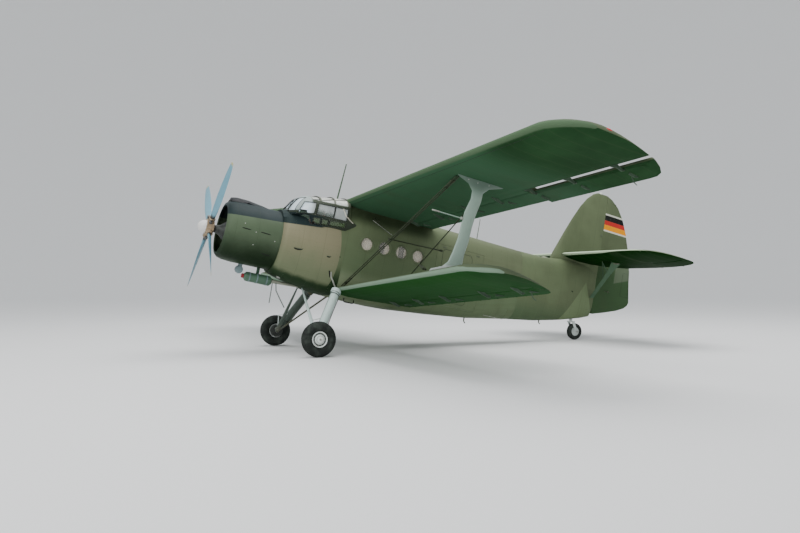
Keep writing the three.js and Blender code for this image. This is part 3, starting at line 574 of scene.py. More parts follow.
def coat(name, colour, roughness=0.5, metallic=0.0, mottle=0.15, grime=0.25, scale=5.0, bump=0.15):
    shader = Shader(name, colour, roughness, metallic)
    broad, fine = shader.noise(scale, 5.0), shader.noise(scale * 9, 3.0)
    mixed = shader.tint(broad.ramp(0.35, 0.68), shade(colour, 1 - mottle), shade(colour, 1 + mottle))
    dirty = shader.tint(fine.ramp(0.52, 0.75) * grime, mixed, shade(colour, 0.4))
    gloss = broad.scaled(0.25, max(roughness - 0.12, 0.02))
    return shader.finish(dirty, gloss, broad + fine * 0.4, bump, 0.002)


def on_side(skin, s, h, side=1, out=0.0):
    point, normal = skin.beside([(s, h)], side)[0]
    return point + normal * out, normal


# Black paint for steel parts, and painted shade where it marks recesses, slots and the scoop's mouth
black_and_recess_shade = coat("black_and_recess_shade", (0.012, 0.014, 0.011), 0.8)
pale_metal = coat("pale_metal", (0.42, 0.43, 0.38), 0.4, 0.3)
fitting_paint = coat("fitting_paint", (0.10, 0.12, 0.075), 0.55)
HANDLES = (
    ((-0.688, 1.975), (-0.480, 1.996), 0.032),
    ((0.107, 1.945), (0.202, 1.966), 0.022),
)
# Painted shade: each handle's recess is a flat black mark laid on the sheet
handles, pulls = Form(), Form()
for (s0, h0), (s1, h1), deep in HANDLES:
    for _, side in SIDES:
        rim = []
        for k in range(17):
            swing = math.pi * k / 16
            s = (s0 + s1) / 2 - (s1 - s0) / 2 * math.cos(swing)
            h = h0 + (h1 - h0) * k / 16 - deep * math.sin(swing)
            rim.append(on_side(hull_skin, s, h, side, 0.001)[0])
        handles.tube(rim, [0.004 + 0.013 * math.sin(math.pi * k / 16) for k in range(17)], 8, 0.25, (0, 0, 1))
        pull = [on_side(hull_skin, s0 + (s1 - s0) * k / 6, h0 + 0.006, side, 0.006)[0] for k in range(7)]
        pulls.tube(pull, 0.006, 8)
for _, side in SIDES:
    dot, normal = on_side(hull_skin, 0.422, 1.99, side)
    handles.turn([(0, -0.004), (0.016, -0.004), (0.014, 0.004), (0, 0.004)], dot, normal, 16)
handles.done("nose_handle_recesses", black_and_recess_shade, slot="olive_paint")
pulls.done("nose_handles", fitting_paint, slot="tan_paint")

VENT_PATH = ((0.278, 1.60), (0.29, 1.545), (0.305, 1.482), (0.36, 1.41), (0.43, 1.32), (0.486, 1.254))
vent = Form()
vent.tube([on_side(hull_skin, s, h, 1, 0.012)[0] for s, h in VENT_PATH],
          [0.012, 0.014, 0.016, 0.017, 0.016, 0.014], 10)
rod = [on_side(hull_skin, 1.069, 3.04, 1, 0.02)[0], on_side(hull_skin, 1.638, 2.799, 1, 0.012)[0]]
vent.tube(rod, 0.007, 8)
vent.done("vent_tube_and_rod", pale_metal, slot="olive_paint")
# Painted shade: the vent's slot is a black mark on the sheet
slot_mark = Form()
slot_mark.tube([on_side(hull_skin, 0.235 + 0.01 * k, 1.62 - 0.03 * k)[0] for k in range(6)], 0.02, 8, 0.2)
slot_mark.done("vent_slot", black_and_recess_shade, slot="olive_paint")

STEP_X, STEP_TOP, BEND = 0.60, 1.20, 0.03
front_bend, rear_bend, low_bend = 0.83 + BEND, 1.09 - BEND, 0.985 + BEND
bends = (0, 0.8, 1.57)
path = [(STEP_X, 0.83, STEP_TOP)]
path += [(STEP_X, front_bend - BEND * math.cos(a), low_bend - BEND * math.sin(a)) for a in bends]
path += [(STEP_X, rear_bend + BEND * math.sin(a), low_bend - BEND * math.cos(a)) for a in bends]
path.append((STEP_X, 1.09, STEP_TOP))
Form().tube(path, 0.013, 8, 1.0, (1, 0, 0)).done("boarding_step", black_and_recess_shade, slot="steel")

belly_tubes = Form()
for s, drop in ((4.538, 0.14), (6.924, 0.10)):
    low = hull_skin.hit((0, s, 0.2), (0, 0, 1))[0]
    places = [low + Vector((0, 0, 0.02)), low - Vector((0, 0, drop * 0.6)), low - Vector((0, -0.05, drop))]
    belly_tubes.tube(places, [0.018, 0.017, 0.015], 10, 1.0, (1, 0, 0))
belly_tubes.done("belly_drain_tubes", fitting_paint, slot="steel")

# The cargo door hangs on a piano hinge under the wing root; a smaller passenger door is let into it.
# It is the same sheet as the hull round a pressed frame, with a lever handle and a rubber seal in its gap.
smooth_skin("cargo_door", cabin_paint)
door_skin = Skin("cargo_door")
outer_door = [(2.98, 1.44), (4.37, 1.44), (4.37, 2.86), (2.98, 2.86)]
inner_door = [(3.12, 1.50), (3.98, 1.50), (4.04, 1.56), (4.04, 2.72), (3.98, 2.80), (3.18, 2.80),
              (3.12, 2.74)]


def outline_of(corners, step=None, parts=12):
    # Places along the closed outline, about a step apart, or else the same number of parts to each edge
    places = []
    for (a, b), (c, d) in zip(corners, corners[1:] + corners[:1]):
        count = max(1, round(math.hypot(c - a, d - b) / step)) if step else parts
        places += [(a + (c - a) * k / count, b + (d - b) * k / count) for k in range(count)]
    return places


def around(skin, corners, side=1, step=0.05):
    path = skin.beside(outline_of(corners, step), side)
    return path + path[:1]


seal_black = coat("seal_black", (0.02, 0.022, 0.02), 0.75)
welts("door_inner_seam", [around(door_skin, inner_door)], seal_black, 0.004, body="cargo_door", slot="rubber")
edge_rows = spaced(around(door_skin, outer_door), 0.07)
studs("door_rivets", edge_rows, cabin_paint, 0.0055, 0.0025, body="cargo_door", slot="olive_paint")
door_fittings = Form()
for s, h in ((3.20, 2.05), (4.27, 2.05)):
    base, normal = on_side(door_skin, s, h)
    boss = [(0, 0), (0.026, 0), (0.024, 0.012), (0.012, 0.014), (0.011, 0.035), (0, 0.035)]
    lever = [base + normal * 0.032, base + normal * 0.036 + Vector((0, 0.06, -0.004)),
             base + normal * 0.03 + Vector((0, 0.12, -0.008))]
    door_fittings.turn(boss, base, normal, 18)
    door_fittings.tube(lever, [0.011, 0.009, 0.007], 10, 0.7, (0, 0, 1))
for s in (3.15, 3.68, 4.20):
    base, normal = on_side(door_skin, s, 2.845, 1, 0.004)
    door_fittings.block(base + Vector((-0.012, -0.05, -0.02)), base + Vector((0.006, 0.05, 0.012)), 0.003)
door_fittings.done("door_handle_and_hinges", fitting_paint, "cargo_door", "olive_paint")

# The canopy is a bulged cage of pressed frames, painted outside, with panes of clear acrylic in rubber seals.
# Its side panes lean outwards so that the pilots can look straight down past the nose.
SIDE_PANES = (
    ((-0.745, 2.800), (-0.405, 2.862), (-0.380, 3.115), (-0.630, 3.095)),
    ((-0.345, 2.850), (0.058, 2.850), (0.058, 3.120), (-0.310, 3.112)),
    ((0.082, 2.850), (0.375, 2.850), (0.375, 3.125), (0.082, 3.120)),
    ((-0.378, 2.642), (-0.215, 2.645), (-0.230, 2.768), (-0.378, 2.765)),
    ((-0.178, 2.648), (-0.040, 2.652), (-0.040, 2.772), (-0.190, 2.768)),
    ((0.005, 2.660), (0.375, 2.680), (0.375, 2.795), (0.000, 2.775)),
)
ROOF_PANES = ((-0.45, -0.29), (-0.25, 0.045), (0.08, 0.375))
FRONT_PANES = ((-0.56, -0.232, 2.86), (-0.196, 0.196, 2.925), (0.232, 0.56, 2.86))


def canopy_zones(shader, colour, x, s, h):
    # The sill is dark below the belt line; the roof frames turn paler in patches
    low = h.ramp(2.84, 2.80)
    pale_roof_patches = h.ramp(3.16, 3.24) * shader.noise(5.0).ramp(0.3, 0.6)
    colour = shader.tint(pale_roof_patches, colour, (0.20, 0.21, 0.16))
    # Painted highlight: the bow frame round the windscreen is painted pale
    bow_highlight = s.ramp(-0.44, -0.50) * h.ramp(2.86, 2.90)
    colour = shader.tint(bow_highlight, colour, (0.34, 0.39, 0.38))
    return shader.tint(low * s.ramp(0.1, -0.3), colour, shade(SLATE, 0.8))


canopy_paint = painted_sheet("canopy_paint", (0.040, 0.050, 0.034), canopy_zones, 0.55)
smooth_skin("canopy_frame", canopy_paint, 34)
# The panes' colours and part-opaque cover are painted reflection, not the acrylic's own tint
glazing = Shader("canopy_pane", (0.60, 0.68, 0.70), 0.08)
x, s, h = glazing.level()
film = glazing.noise(3.0, 4.0, (1, 1, 0.5))
roof = h.ramp(3.15, 3.28)
front = s.ramp(-0.38, -0.52)
# Painted reflection: the front panes are pale blue-white and more opaque, the roof panes pale
pane = glazing.tint(front, (0.66, 0.72, 0.70), (0.74, 0.86, 0.92))
# Painted reflection: the middle panes are pale above a wavering sky line and dark below it
sky_reflection = (h + film * 0.3).ramp(3.04, 3.16)
middle = s.inside(-0.36, 0.07, 0.01)
pane = glazing.tint(middle * (1.0 - sky_reflection), pane, (0.20, 0.24, 0.21))
pane = glazing.tint(roof, pane, (0.66, 0.67, 0.60))
# Painted reflection: the low panes are dark green and half opaque
low_pane = h.ramp(2.82, 2.79)
pane = glazing.tint(low_pane, pane, (0.075, 0.115, 0.055))
cover = roof.scaled(0.35, 0.34) + front * 0.42 + low_pane * 0.42 + film.ramp(0.5, 0.75) * 0.12
glazing.give("Alpha", cover)
canopy_pane = glazing.finish(pane, film.scaled(0.12, 0.04), film, 0.06, 0.001)
smooth_skin("canopy_glass", canopy_pane, 34)

canopy_skin = Skin("canopy_frame")
canopy_hull = Skin("canopy_frame", "canopy_glass")


def grown_outline(corners, more):
    middle = sum((Vector(c) for c in corners), Vector((0, 0))) / len(corners)
    grown = []
    for x, y in corners:
        away = Vector((math.copysign(more, x - middle.x), math.copysign(more, y - middle.y)))
        grown.append(tuple(Vector((x, y)) + away))
    return grown


seals, screws = [], []
for corners in SIDE_PANES:
    for _, side in SIDES:
        seals.append(around(canopy_hull, grown_outline(corners, 0.006), side, 0.04))
        screws += spaced(around(canopy_skin, grown_outline(corners, 0.013), side, 0.02), 0.06)
for x0, x1, low in FRONT_PANES:
    path = canopy_hull.before(outline_of([(x0, low), (x1, low), (x1, 3.222), (x0, 3.222)], parts=10))
    seals.append(path + path[:1])
for front_s, rear_s in ROOF_PANES:
    for _, side in SIDES:
        reach = [side * (0.07 + 0.075 * k) for k in range(10)]
        path = canopy_hull.over([(x, front_s) for x in reach] + [(x, rear_s) for x in reach[::-1]], 4.5)
        path = [spot for spot in path if spot[0].z > 3.19]
        seals.append(path + path[:1])
welts("canopy_seals", seals, seal_black, 0.0075, slot="rubber")
tape = coat("rear_sealing_tape", (0.60, 0.58, 0.47), 0.7)
TAPE_PATH = ((0.262, 3.13), (0.288, 3.08), (0.318, 3.03), (0.345, 2.98), (0.392, 2.94), (0.450, 2.90),
             (0.520, 2.865), (0.575, 2.84))
strips = [canopy_hull.beside(TAPE_PATH, side) for _, side in SIDES]
welts("rear_sealing_tape", strips, tape, 0.016, 0.009, slot="olive_paint")
studs("canopy_screws", screws, pale_metal, 0.0035, 0.0015, 0.7, slot="steel")

wiper = Form()
for _, side in SIDES:
    (foot, _), (tip, _) = canopy_hull.before([(0.30 * side, 2.83), (0.10 * side, 3.06)])
    lift = Vector((0, -0.018, 0.01))
    wiper.turn([(0, -0.02), (0.018, -0.02), (0.016, 0.012), (0, 0.014)], foot + lift, (0, -0.6, 0.8), 14)
    wiper.tube([foot + lift, foot.lerp(tip, 0.5) + lift * 1.8, tip + lift], [0.007, 0.006, 0.004], 8)
    blade = [(x * side, h) for x, h in ((0.17, 2.95), (0.12, 3.03), (0.07, 3.11), (0.03, 3.17))]
    wiper.tube([point + normal * 0.008 for point, normal in canopy_hull.before(blade)], 0.006, 6)
wiper.done("windscreen_wipers", black_and_recess_shade, slot="steel")

# The pilots sit side by side on deep pans with leather cushions and a headrest, behind a hooded panel.
# A control column with a half wheel stands before each of them, and each has a pair of pedals.
lining = coat("cockpit_lining", (0.13, 0.16, 0.16), 0.6)
seat_frame = coat("seat_frame_paint", (0.16, 0.18, 0.17), 0.5)
leather = coat("seat_leather", (0.36, 0.20, 0.14), 0.45, 0.0, 0.2, 0.3, 14.0, 0.3)
smooth_skin("bulkhead", lining)
smooth_skin("cockpit_seats", seat_frame)
smooth_skin("instrument_panel", coat("panel_paint", (0.035, 0.04, 0.04), 0.6))


def pillow(name, centre, half, crown, turned=0.0):
    # A crowned pad: its sides pull in between the corners and its faces swell towards the middle
    rings, steps, sides = [], 14, 40
    for k in range(steps + 1):
        up = -1 + 2 * k / steps
        pulled = (1 - abs(up) ** 2.6) ** (1 / 2.6) if abs(up) < 1 else 0.0
        ring = []
        for a in turns(sides):
            reach = 1 / (abs(math.cos(a)) ** 5 + abs(math.sin(a)) ** 5) ** 0.2
            size = 0.72 + 0.28 * pulled if k not in (0, steps) else 0.68
            px, py = reach * math.cos(a) * size, reach * math.sin(a) * size
            swell = crown * (1 - px * px) * (1 - py * py) * (1 if up > 0 else 0.15)
            ring.append((half[0] * px, half[1] * py, half[2] * up + swell * math.copysign(1, up)))
        rings.append(ring)
    spin = Matrix.Rotation(turned, 4, "X")
    pad = Form()
    pad.rings([[Vector(centre) + spin @ Vector(point) for point in ring] for ring in rings])
    made = pad.done(name, leather, slot="interior_paint", angle=60)
    return made


SEAT_X, COLUMN_FOOT = 0.40, 1.885
for side_name, side in SIDES:
    x = SEAT_X * side
    pillow(f"seat_cushion_{side_name}", (x, -0.175, 2.318), (0.205, 0.185, 0.036), 0.018)
    pillow(f"back_cushion_{side_name}", (x, -0.036, 2.64), (0.20, 0.30, 0.034), 0.018, math.radians(90))
    pillow(f"headrest_{side_name}", (x, -0.018, 3.03), (0.10, 0.075, 0.028), 0.012, math.radians(90))

cockpit = Form()
for _, side in SIDES:
    x = SEAT_X * side
    column = [(x, -0.40, COLUMN_FOOT), (x, -0.43, 2.2), (x, -0.47, 2.46)]
    cockpit.tube(column, [0.028, 0.024, 0.022], 12, 1.0, (1, 0, 0))
    wheel = [(x + 0.15 * math.cos(a), -0.475, 2.50 + 0.13 * math.sin(a))
             for a in [math.radians(200 + 14 * k) for k in range(11)]]
    cockpit.tube(wheel, 0.014, 10)
    cockpit.tube([(x - 0.14, -0.475, 2.47), (x, -0.47, 2.47), (x + 0.14, -0.475, 2.47)], 0.012, 8)
    for pedal in (x - 0.09, x + 0.09):
        cockpit.block((pedal - 0.04, -0.60, 2.0), (pedal + 0.04, -0.585, 2.13), 0.004)
        cockpit.tube([(pedal, -0.59, COLUMN_FOOT), (pedal, -0.59, 2.02)], 0.012, 8)
for k in range(5):
    x, s = -0.04 + 0.02 * k, -0.47 - 0.01 * (k % 2)
    cockpit.tube([(x, -0.45, 2.195), (x, s, 2.30)], 0.005, 8)
    cockpit.turn([(0, 0), (0.012, 0), (0.012, 0.022), (0, 0.026)], (x, s, 2.295), sides=12)
cockpit.done("control_columns_and_pedals", black_and_recess_shade, slot="interior_paint")

dial_face = coat("dial_face", (0.01, 0.01, 0.012), 0.35)
dial_white = coat("dial_white", (0.62, 0.62, 0.58), 0.5)
MARK_STEP = 0.785
rims, dials, needles = Form(), Form(), Form()
for row in range(3):
    for column in range(10):
        x, h, size = -0.50 + 0.111 * column, 2.60 - 0.13 * row, 0.042 if (row + column) % 3 else 0.05
        centre, outer = Vector((x, -0.5995, h)), size + 0.006
        rims.turn([(size, 0), (outer, 0), (outer, 0.009), (size, 0.012)], centre, (0, 1, 0), 24, True)
        dials.turn([(0, 0.0005), (size, 0.0005), (size, 0.004), (0, 0.004)], centre, (0, 1, 0), 24)
        lean = 0.7 + 1.9 * ((row * 7 + column * 3) % 5)
        pivot, lifted = centre + Vector((0, 0.006, 0)), centre + Vector((0, 0.005, 0))
        needles.tube([pivot, pivot + spoke(lean) * size * 0.7], [0.0022, 0.001], 6)
        for k in range(8):
            mark = spoke(k * MARK_STEP) * size
            needles.tube([lifted + mark * 0.8, lifted + mark * 0.95], 0.0012, 4)
rims.done("dial_rims", pale_metal, slot="slate_paint")
dials.done("dial_faces", dial_face, slot="slate_paint")
needles.done("dial_needles", dial_white, slot="white_paint")
hood = Form()
top_edge = [(-0.60 + 0.12 * k, 0.0) for k in range(11)]
low_edge = [(0.60 - 0.12 * k, -0.012) for k in range(11)]
hood.rings([[(x, s, 2.70 + 0.05 * (1 - (x / 0.62) ** 2) + lift) for x, lift in top_edge + low_edge]
            for s in (-0.66, -0.62, -0.56, -0.54)])
hood.done("panel_hood", black_and_recess_shade, slot="slate_paint")

# The cabin is a bare freight hold: a ribbed floor, folding benches along its sides and a lined rear bulkhead.
# Its floor is alloy plate, the benches are tube frames with laced webbing seats.
smooth_skin("cabin_floor", coat("floor_plate", (0.20, 0.21, 0.20), 0.5, 0.4))
for side_name, _ in SIDES:
    smooth_skin(f"bench_{side_name}", lining)
UPWARDS = Vector((0, 0, 1))
floor_ribs = [[(Vector((x, s, 1.4005)), UPWARDS) for s in (0.6, 2.5, 4.2, 5.4)]
              for x in (-0.5, -0.25, 0, 0.25, 0.5)]
welts("floor_ribs", floor_ribs, pale_metal, 0.006, slot="steel")
slats = [[(Vector((side * x, 1.03 + 0.06 * k, 1.832)), UPWARDS) for x in (0.53, 0.82)]
         for _, side in SIDES for k in range(28)]
welts("bench_slats", slats, fitting_paint, 0.006, slot="interior_paint")

# Each round window is an acrylic disc clamped by a pressed ring and a circle of screws.
# Inside hang small cream blinds of folded cloth, drawn across by different amounts.
WINDOW_FIRST, WINDOW_PITCH, WINDOW_HEIGHT, WINDOW_RADIUS = 1.032, 0.467, 2.439, 0.150
window_ring_paint = coat("window_ring_paint", shade(OLIVE, 0.95), 0.5)
# The panes are a pale cream film at about a fifth opacity, painted light on the blinds behind, mottled as
# haze
window_glass = Shader("window_glass", (0.62, 0.66, 0.62), 0.06)
window_glass.give("Alpha", 0.22)
haze = window_glass.noise(6.0)
haze_and_painted_light = window_glass.tint(haze, (0.62, 0.60, 0.54), (0.84, 0.80, 0.72))
window_pane = window_glass.finish(haze_and_painted_light, haze.scaled(0.1, 0.03), haze, 0.05, 0.001)
for side_name, _ in SIDES:
    smooth_skin(f"window_panes_{side_name}", window_pane, 34)
RING_INNER = WINDOW_RADIUS - 0.004
RING = [(RING_INNER, -0.022), (RING_INNER, 0.006), (0.158, 0.012), (0.180, 0.010), (0.188, 0.003),
        (0.188, -0.008)]
rings, ring_screws, centres = Form(), [], []
for _, side in SIDES:
    for k in range(4):
        s = WINDOW_FIRST + WINDOW_PITCH * k
        circle = [(s + 0.18 * math.cos(a), WINDOW_HEIGHT + 0.18 * math.sin(a)) for a in turns(12)]
        rim_spots = hull_skin.beside(circle, side)
        middle = sum((spot[0] for spot in rim_spots), Vector()) / 12
        normal = sum((spot[1] for spot in rim_spots), Vector()).normalized()
        centres.append((middle, normal, side))
        rings.turn(RING, middle, normal, 48, True)
        across = normal.orthogonal().normalized()
        up = normal.cross(across)
        ring_screws += [(middle + 0.171 * (across * math.cos(a) + up * math.sin(a)) + normal * 0.0105, normal)
                        for a in turns(16)]
rings.done("window_rings", window_ring_paint, slot="olive_paint")
studs("window_ring_screws", ring_screws, fitting_paint, 0.0045, 0.002, 0.7, 8, slot="steel")

cloth = Shader("blind_cloth", (0.78, 0.71, 0.58), 0.9)
weave = cloth.noise(160.0, 2.0)
stain = cloth.noise(7.0, 4.0)
stained = cloth.tint(stain.ramp(0.4, 0.75), (0.80, 0.72, 0.60), (0.66, 0.58, 0.46))
blind_cloth = cloth.finish(stained, None, weave, 0.3, 0.001)
cloth.give("Sheen Weight", 0.2)
BLIND_DROP, FOLD_DEPTH, BLIND_INSET = 0.40, 0.009, 0.055
DRAWN = (((-0.19, 0.19),), ((0.03, 0.19),), ((-0.19, -0.055), (0.095, 0.19)), ((-0.19, 0.19),))
for index, (middle, normal, side) in enumerate(centres):
    for piece, (start, end) in enumerate(DRAWN[index % 4]):
        steps = max(12, round((end - start) / 0.006))
        columns = []
        for k in range(steps + 1):
            s = start + (end - start) * k / steps
            fold = FOLD_DEPTH * math.sin(2 * math.pi * s / 0.045)
            columns.append([Vector((middle.x - side * (BLIND_INSET + fold * (0.5 + j / 24)), middle.y + s,
                                    WINDOW_HEIGHT + 0.20 - BLIND_DROP * j / 12)) for j in range(13)])
        corners = [PARKED @ point for column in columns for point in column]
        faces = [(13 * k + j, 13 * k + j + 1, 13 * (k + 1) + j + 1, 13 * (k + 1) + j)
                 for k in range(steps) for j in range(12)]
        name = f"blind_{'port' if side > 0 else 'stbd'}_{index % 4 + 1}_{piece + 1}"
        mesh = bpy.data.meshes.new(name)
        mesh.from_pydata(corners, [], faces)
        rounded(mesh)
        made = plain_mesh(name, mesh, "airframe", blind_cloth)
rails = Form()
for middle, _, side in centres:
    x, h = middle.x - side * BLIND_INSET, WINDOW_HEIGHT + 0.203
    rails.tube([(x, middle.y - 0.20, h), (x, middle.y + 0.20, h)], 0.007, 8, 1.0, (0, 0, 1))
rails.done("blind_rails", pale_metal, slot="steel")

# The engine is an air-cooled radial with nine finned barrels round a cast case, dark with oil and heat.
# Pushrod tubes, rocker covers and a ring of ignition leads stand in front of the barrels.
ENGINE_AXIS_H, BARREL_S = 2.060, -1.870
cast_metal = coat("cast_metal", (0.06, 0.065, 0.06), 0.5, 0.5, 0.25, 0.4, 9.0)
fin_metal = coat("fin_metal", (0.035, 0.037, 0.035), 0.55, 0.5, 0.2, 0.4, 9.0)
tube_metal = coat("tube_metal", (0.16, 0.17, 0.16), 0.35, 0.7)
smooth_skin("engine", cast_metal, 40)


def outwards(angle, radius, s):
    return Vector((radius * math.sin(angle), s, ENGINE_AXIS_H + radius * math.cos(angle)))


low_fins, head_fins = [], []
engine_parts, leads = Form(), Form()
for angle in turns(9):
    way = spoke(angle)
    low_fins += [(outwards(angle, 0.262 + 0.0155 * k, BARREL_S), way) for k in range(10)]
    head_fins += [(outwards(angle, 0.432 + 0.0165 * k, BARREL_S), way) for k in range(10)]
    for lean in (-0.085, 0.085):
        pushrod = [outwards(angle + lean * 1.6, 0.215, -2.16), outwards(angle + lean, 0.40, -2.05),
                   outwards(angle + lean * 0.8, 0.575, -1.955)]
        engine_parts.tube(pushrod, 0.013, 8)
        cover = outwards(angle + lean, 0.592, -1.955)
        rocker_box = [cover + Vector((0, -0.035, 0)), cover, cover + Vector((0, 0.13, 0)) + way * 0.012]
        engine_parts.tube(rocker_box, [0.022, 0.032, 0.026], 10, 0.8, tuple(way))
    lead = [outwards(angle + 0.06, 0.325, -2.03), outwards(angle + 0.05, 0.43, -2.02),
            outwards(angle + 0.03, 0.52, -1.985)]
    leads.tube(lead, 0.006, 6)
engine_parts.turn([(0.315, -0.012), (0.329, 0.0), (0.315, 0.012), (0.301, 0.0)], (0, -2.03, ENGINE_AXIS_H),
                  (0, 1, 0), 48, True)
engine_parts.done("pushrods_and_rocker_covers", tube_metal, slot="steel")
leads.done("ignition_leads", black_and_recess_shade, slot="steel")
studs("barrel_fins", low_fins, fin_metal, 0.088, 0.0035, 1.0, 20, slot="steel")
studs("head_fins", head_fins, fin_metal, 0.116, 0.0035, 1.0, 20, slot="steel")
case_bolts = [(outwards(a, 0.245, -2.155), Vector((0, -1, 0))) for a in turns(18)]
studs("case_bolts", case_bolts, tube_metal, 0.012, 0.012, 0.85, 6, slot="steel")

# The cowl is a ring of sheet panels over the engine, its sides held shut by long flush latches.
# A ring of turn-lock fasteners runs round its rear edge, and the intake scoop is riveted on its top.
COWL_AXIS_H, COWL_RADIUS = 2.100, 0.715


def cowl_zones(shader, colour, x, s, h):
    wander = (shader.noise(1.7, 3.0) - 0.5) * 0.25
    # The cowl darkens to near black towards its underside as painted shade; along the very bottom it is a
    # little lighter
    low = (h + wander).ramp(2.12, 1.50)
    colour = shader.tint(low, colour, (0.005, 0.017, 0.004))
    belly = h.ramp(1.46, 1.40)
    colour = shader.tint(belly, colour, (0.040, 0.070, 0.036), 0.35)
    return shader.tint(slate_band(shader, s, h), colour, SLATE)


cowl_paint = painted_sheet("cowl_paint", (0.082, 0.115, 0.068), cowl_zones, 0.5)
smooth_skin("cowl", cowl_paint, 40)
cowl_skin = Skin("cowl")


def on_cowl(angle, s, out=0.0):
    way = spoke(angle)
    centre = Vector((0, s, COWL_AXIS_H))
    spot = cowl_skin.hit(centre + way * 1.2, -way)
    return (spot[0] + spot[1] * out, spot[1]) if spot else (centre + way * (COWL_RADIUS + out), way)


LATCHES = ((-1.511, -1.269, 2.154, 2.140), (-1.380, -1.155, 1.695, 1.674), (-1.95, -1.74, 2.16, 2.15))
LOCKS = ((88, -1.62), (112, -1.62), (97, -1.15), (76, -1.9))
latches, latch_dots = Form(), []
for _, side in SIDES:
    for s0, s1, low, high in LATCHES:
        path = []
        for k in range(7):
            s, h = s0 + (s1 - s0) * k / 6, low + (high - low) * k / 6
            path.append(on_cowl(side * math.acos((h - COWL_AXIS_H) / COWL_RADIUS), s, 0.001)[0])
        latches.tube(path, [0.004, 0.011, 0.012, 0.012, 0.012, 0.011, 0.004], 8, 0.35, (0, 0, 1))
    latch_dots += [on_cowl(side * math.radians(degrees), s) for degrees, s in LOCKS]
latches.done("cowl_latches", black_and_recess_shade, slot="olive_paint")
studs("cowl_turn_locks", latch_dots, pale_metal, 0.013, 0.004, 0.8, 10, slot="steel")
rows = []
for s in (-1.028, -1.06, -1.98):
    rows += [on_cowl(2 * math.pi * k / 120, s) for k in range(120)]
for degrees in (62, 118, 180, 242, 298):
    rows += [on_cowl(math.radians(degrees), -1.95 + 0.045 * k) for k in range(20)]
studs("cowl_rivets", rows, cowl_paint, 0.005, 0.0022, slot="olive_paint")
seam_paths = [[on_cowl(math.radians(degrees), -2.2 + 0.06 * k) for k in range(20)]
              for degrees in (60, 116, 244, 300)]
seam_paths.append([on_cowl(2 * math.pi * k / 96, -1.965) for k in range(97)])
welts("cowl_seams", seam_paths, cowl_paint, 0.010, 0.0082, slot="olive_paint")

scoop = Shader("scoop_paint", SLATE, 0.55)
x, s, h = scoop.level()
smear = scoop.noise(6.0)
sooty = (s + smear * 0.25).ramp(-1.25, -1.75)
blotched = scoop.tint(smear, shade(SLATE, 0.85), shade(SLATE, 1.15))
colour = scoop.tint(sooty, blotched, (0.012, 0.013, 0.015))
smooth_skin("air_scoop", scoop.finish(colour, smear.scaled(0.3, 0.4), smear, 0.15, 0.002), 40)
# Painted shade: the scoop's mouth is closed by a black disc just inside its lip
mouth = Form()
mouth.rings([[(w * math.cos(a), s, 2.70 + (rise - 0.6) * math.sin(a)) for a in turns(32)]
             for s, w, rise in ((-2.224, 0.118, 0.69), (-2.226, 0.135, 0.70), (-2.219, 0.146, 0.707))])
mouth.done("scoop_mouth", black_and_recess_shade, slot="slate_paint")

# The propeller has four blades in a steel hub, each with a collar and a counterweight, and turns as one.
# Its blades are painted alloy with worn leading edges, dark at the root; the pitch dome in front is white.
HUB_S, HUB_H = -2.550, 2.060
blades = Shader("propeller_paint", (0.19, 0.38, 0.47), 0.35)
x, s, h = blades.level()
out = blades.length(x, h - HUB_H)
mottle, scuffs = blades.noise(3.5, 5.0), blades.noise(38.0, 3.0)
colour = blades.tint(mottle, (0.115, 0.285, 0.37), (0.165, 0.36, 0.45))
colour = blades.tint(out.ramp(1.70, 1.78), colour, (0.48, 0.44, 0.22))
colour = blades.tint(scuffs.ramp(0.58, 0.72), colour, (0.10, 0.16, 0.18), 0.35)
colour = blades.tint(out.ramp(0.40, 0.30), colour, (0.035, 0.038, 0.036))
colour = blades.tint(out.ramp(0.172, 0.168), colour, (0.34, 0.27, 0.19))
dome_white = blades.tint(mottle, (0.60, 0.60, 0.56), (0.78, 0.77, 0.74))
colour = blades.tint(s.ramp(HUB_S - 0.088, HUB_S - 0.093), colour, dome_white)
propeller_paint = blades.finish(colour, mottle.scaled(0.3, 0.2), mottle, 0.1, 0.002)
smooth_skin("propeller", propeller_paint, 38)
collar_steel = coat("collar_steel", (0.10, 0.10, 0.095), 0.35, 0.7)
hub_bronze = coat("hub_bronze", (0.36, 0.27, 0.17), 0.38, 0.5)
BLADE_START = math.radians(39.3)
HUB, ALONG = Vector((0, HUB_S, HUB_H)), Vector((0, 1, 0))
COLLAR = [(0.05, 0.15), (0.078, 0.152), (0.080, 0.185), (0.070, 0.19), (0.070, 0.225), (0.076, 0.23),
          (0.074, 0.262), (0.060, 0.272), (0.05, 0.272)]
WEIGHT = [(0, -0.03), (0.034, -0.03), (0.038, -0.02), (0.038, 0.03), (0.03, 0.038), (0, 0.038)]
collars, weights, collar_bolts = Form(), Form(), []
for k in range(4):
    angle = BLADE_START + math.pi / 2 * k
    way, side_way = spoke(angle), Vector((math.cos(angle), 0, -math.sin(angle)))
    collars.turn(COLLAR, HUB, way, 28, True)
    arm = HUB + way * 0.235
    weights.tube([arm + side_way * 0.06, arm + side_way * 0.12 + Vector((0, -0.03, 0))], [0.026, 0.022], 12)
    weights.turn(WEIGHT, arm + side_way * 0.13 + Vector((0, -0.035, 0)), side_way, 20)
    for a in turns(8):
        outward = side_way * math.cos(a) + Vector((0, math.sin(a), 0))
        collar_bolts.append((HUB + way * 0.245 + outward * 0.075, outward))
collars.turn([(0.1655, -0.086), (0.172, -0.080), (0.172, 0.080), (0.1655, 0.086)], HUB, ALONG, 48, True)
collars.done("blade_collars", hub_bronze, "propeller", "steel")
weights.done("counterweights", collar_steel, "propeller", "steel")
studs("collar_bolts", collar_bolts, collar_steel, 0.008, 0.010, 0.9, 6, "propeller", "steel")
dome_front = Vector((0, HUB_S - 0.0905, HUB_H))
dome_bolts = [(dome_front + spoke(a) * 0.1575, -ALONG) for a in turns(12)]
studs("dome_bolts", dome_bolts, collar_steel, 0.006, 0.008, 0.9, 6, "propeller", "steel")

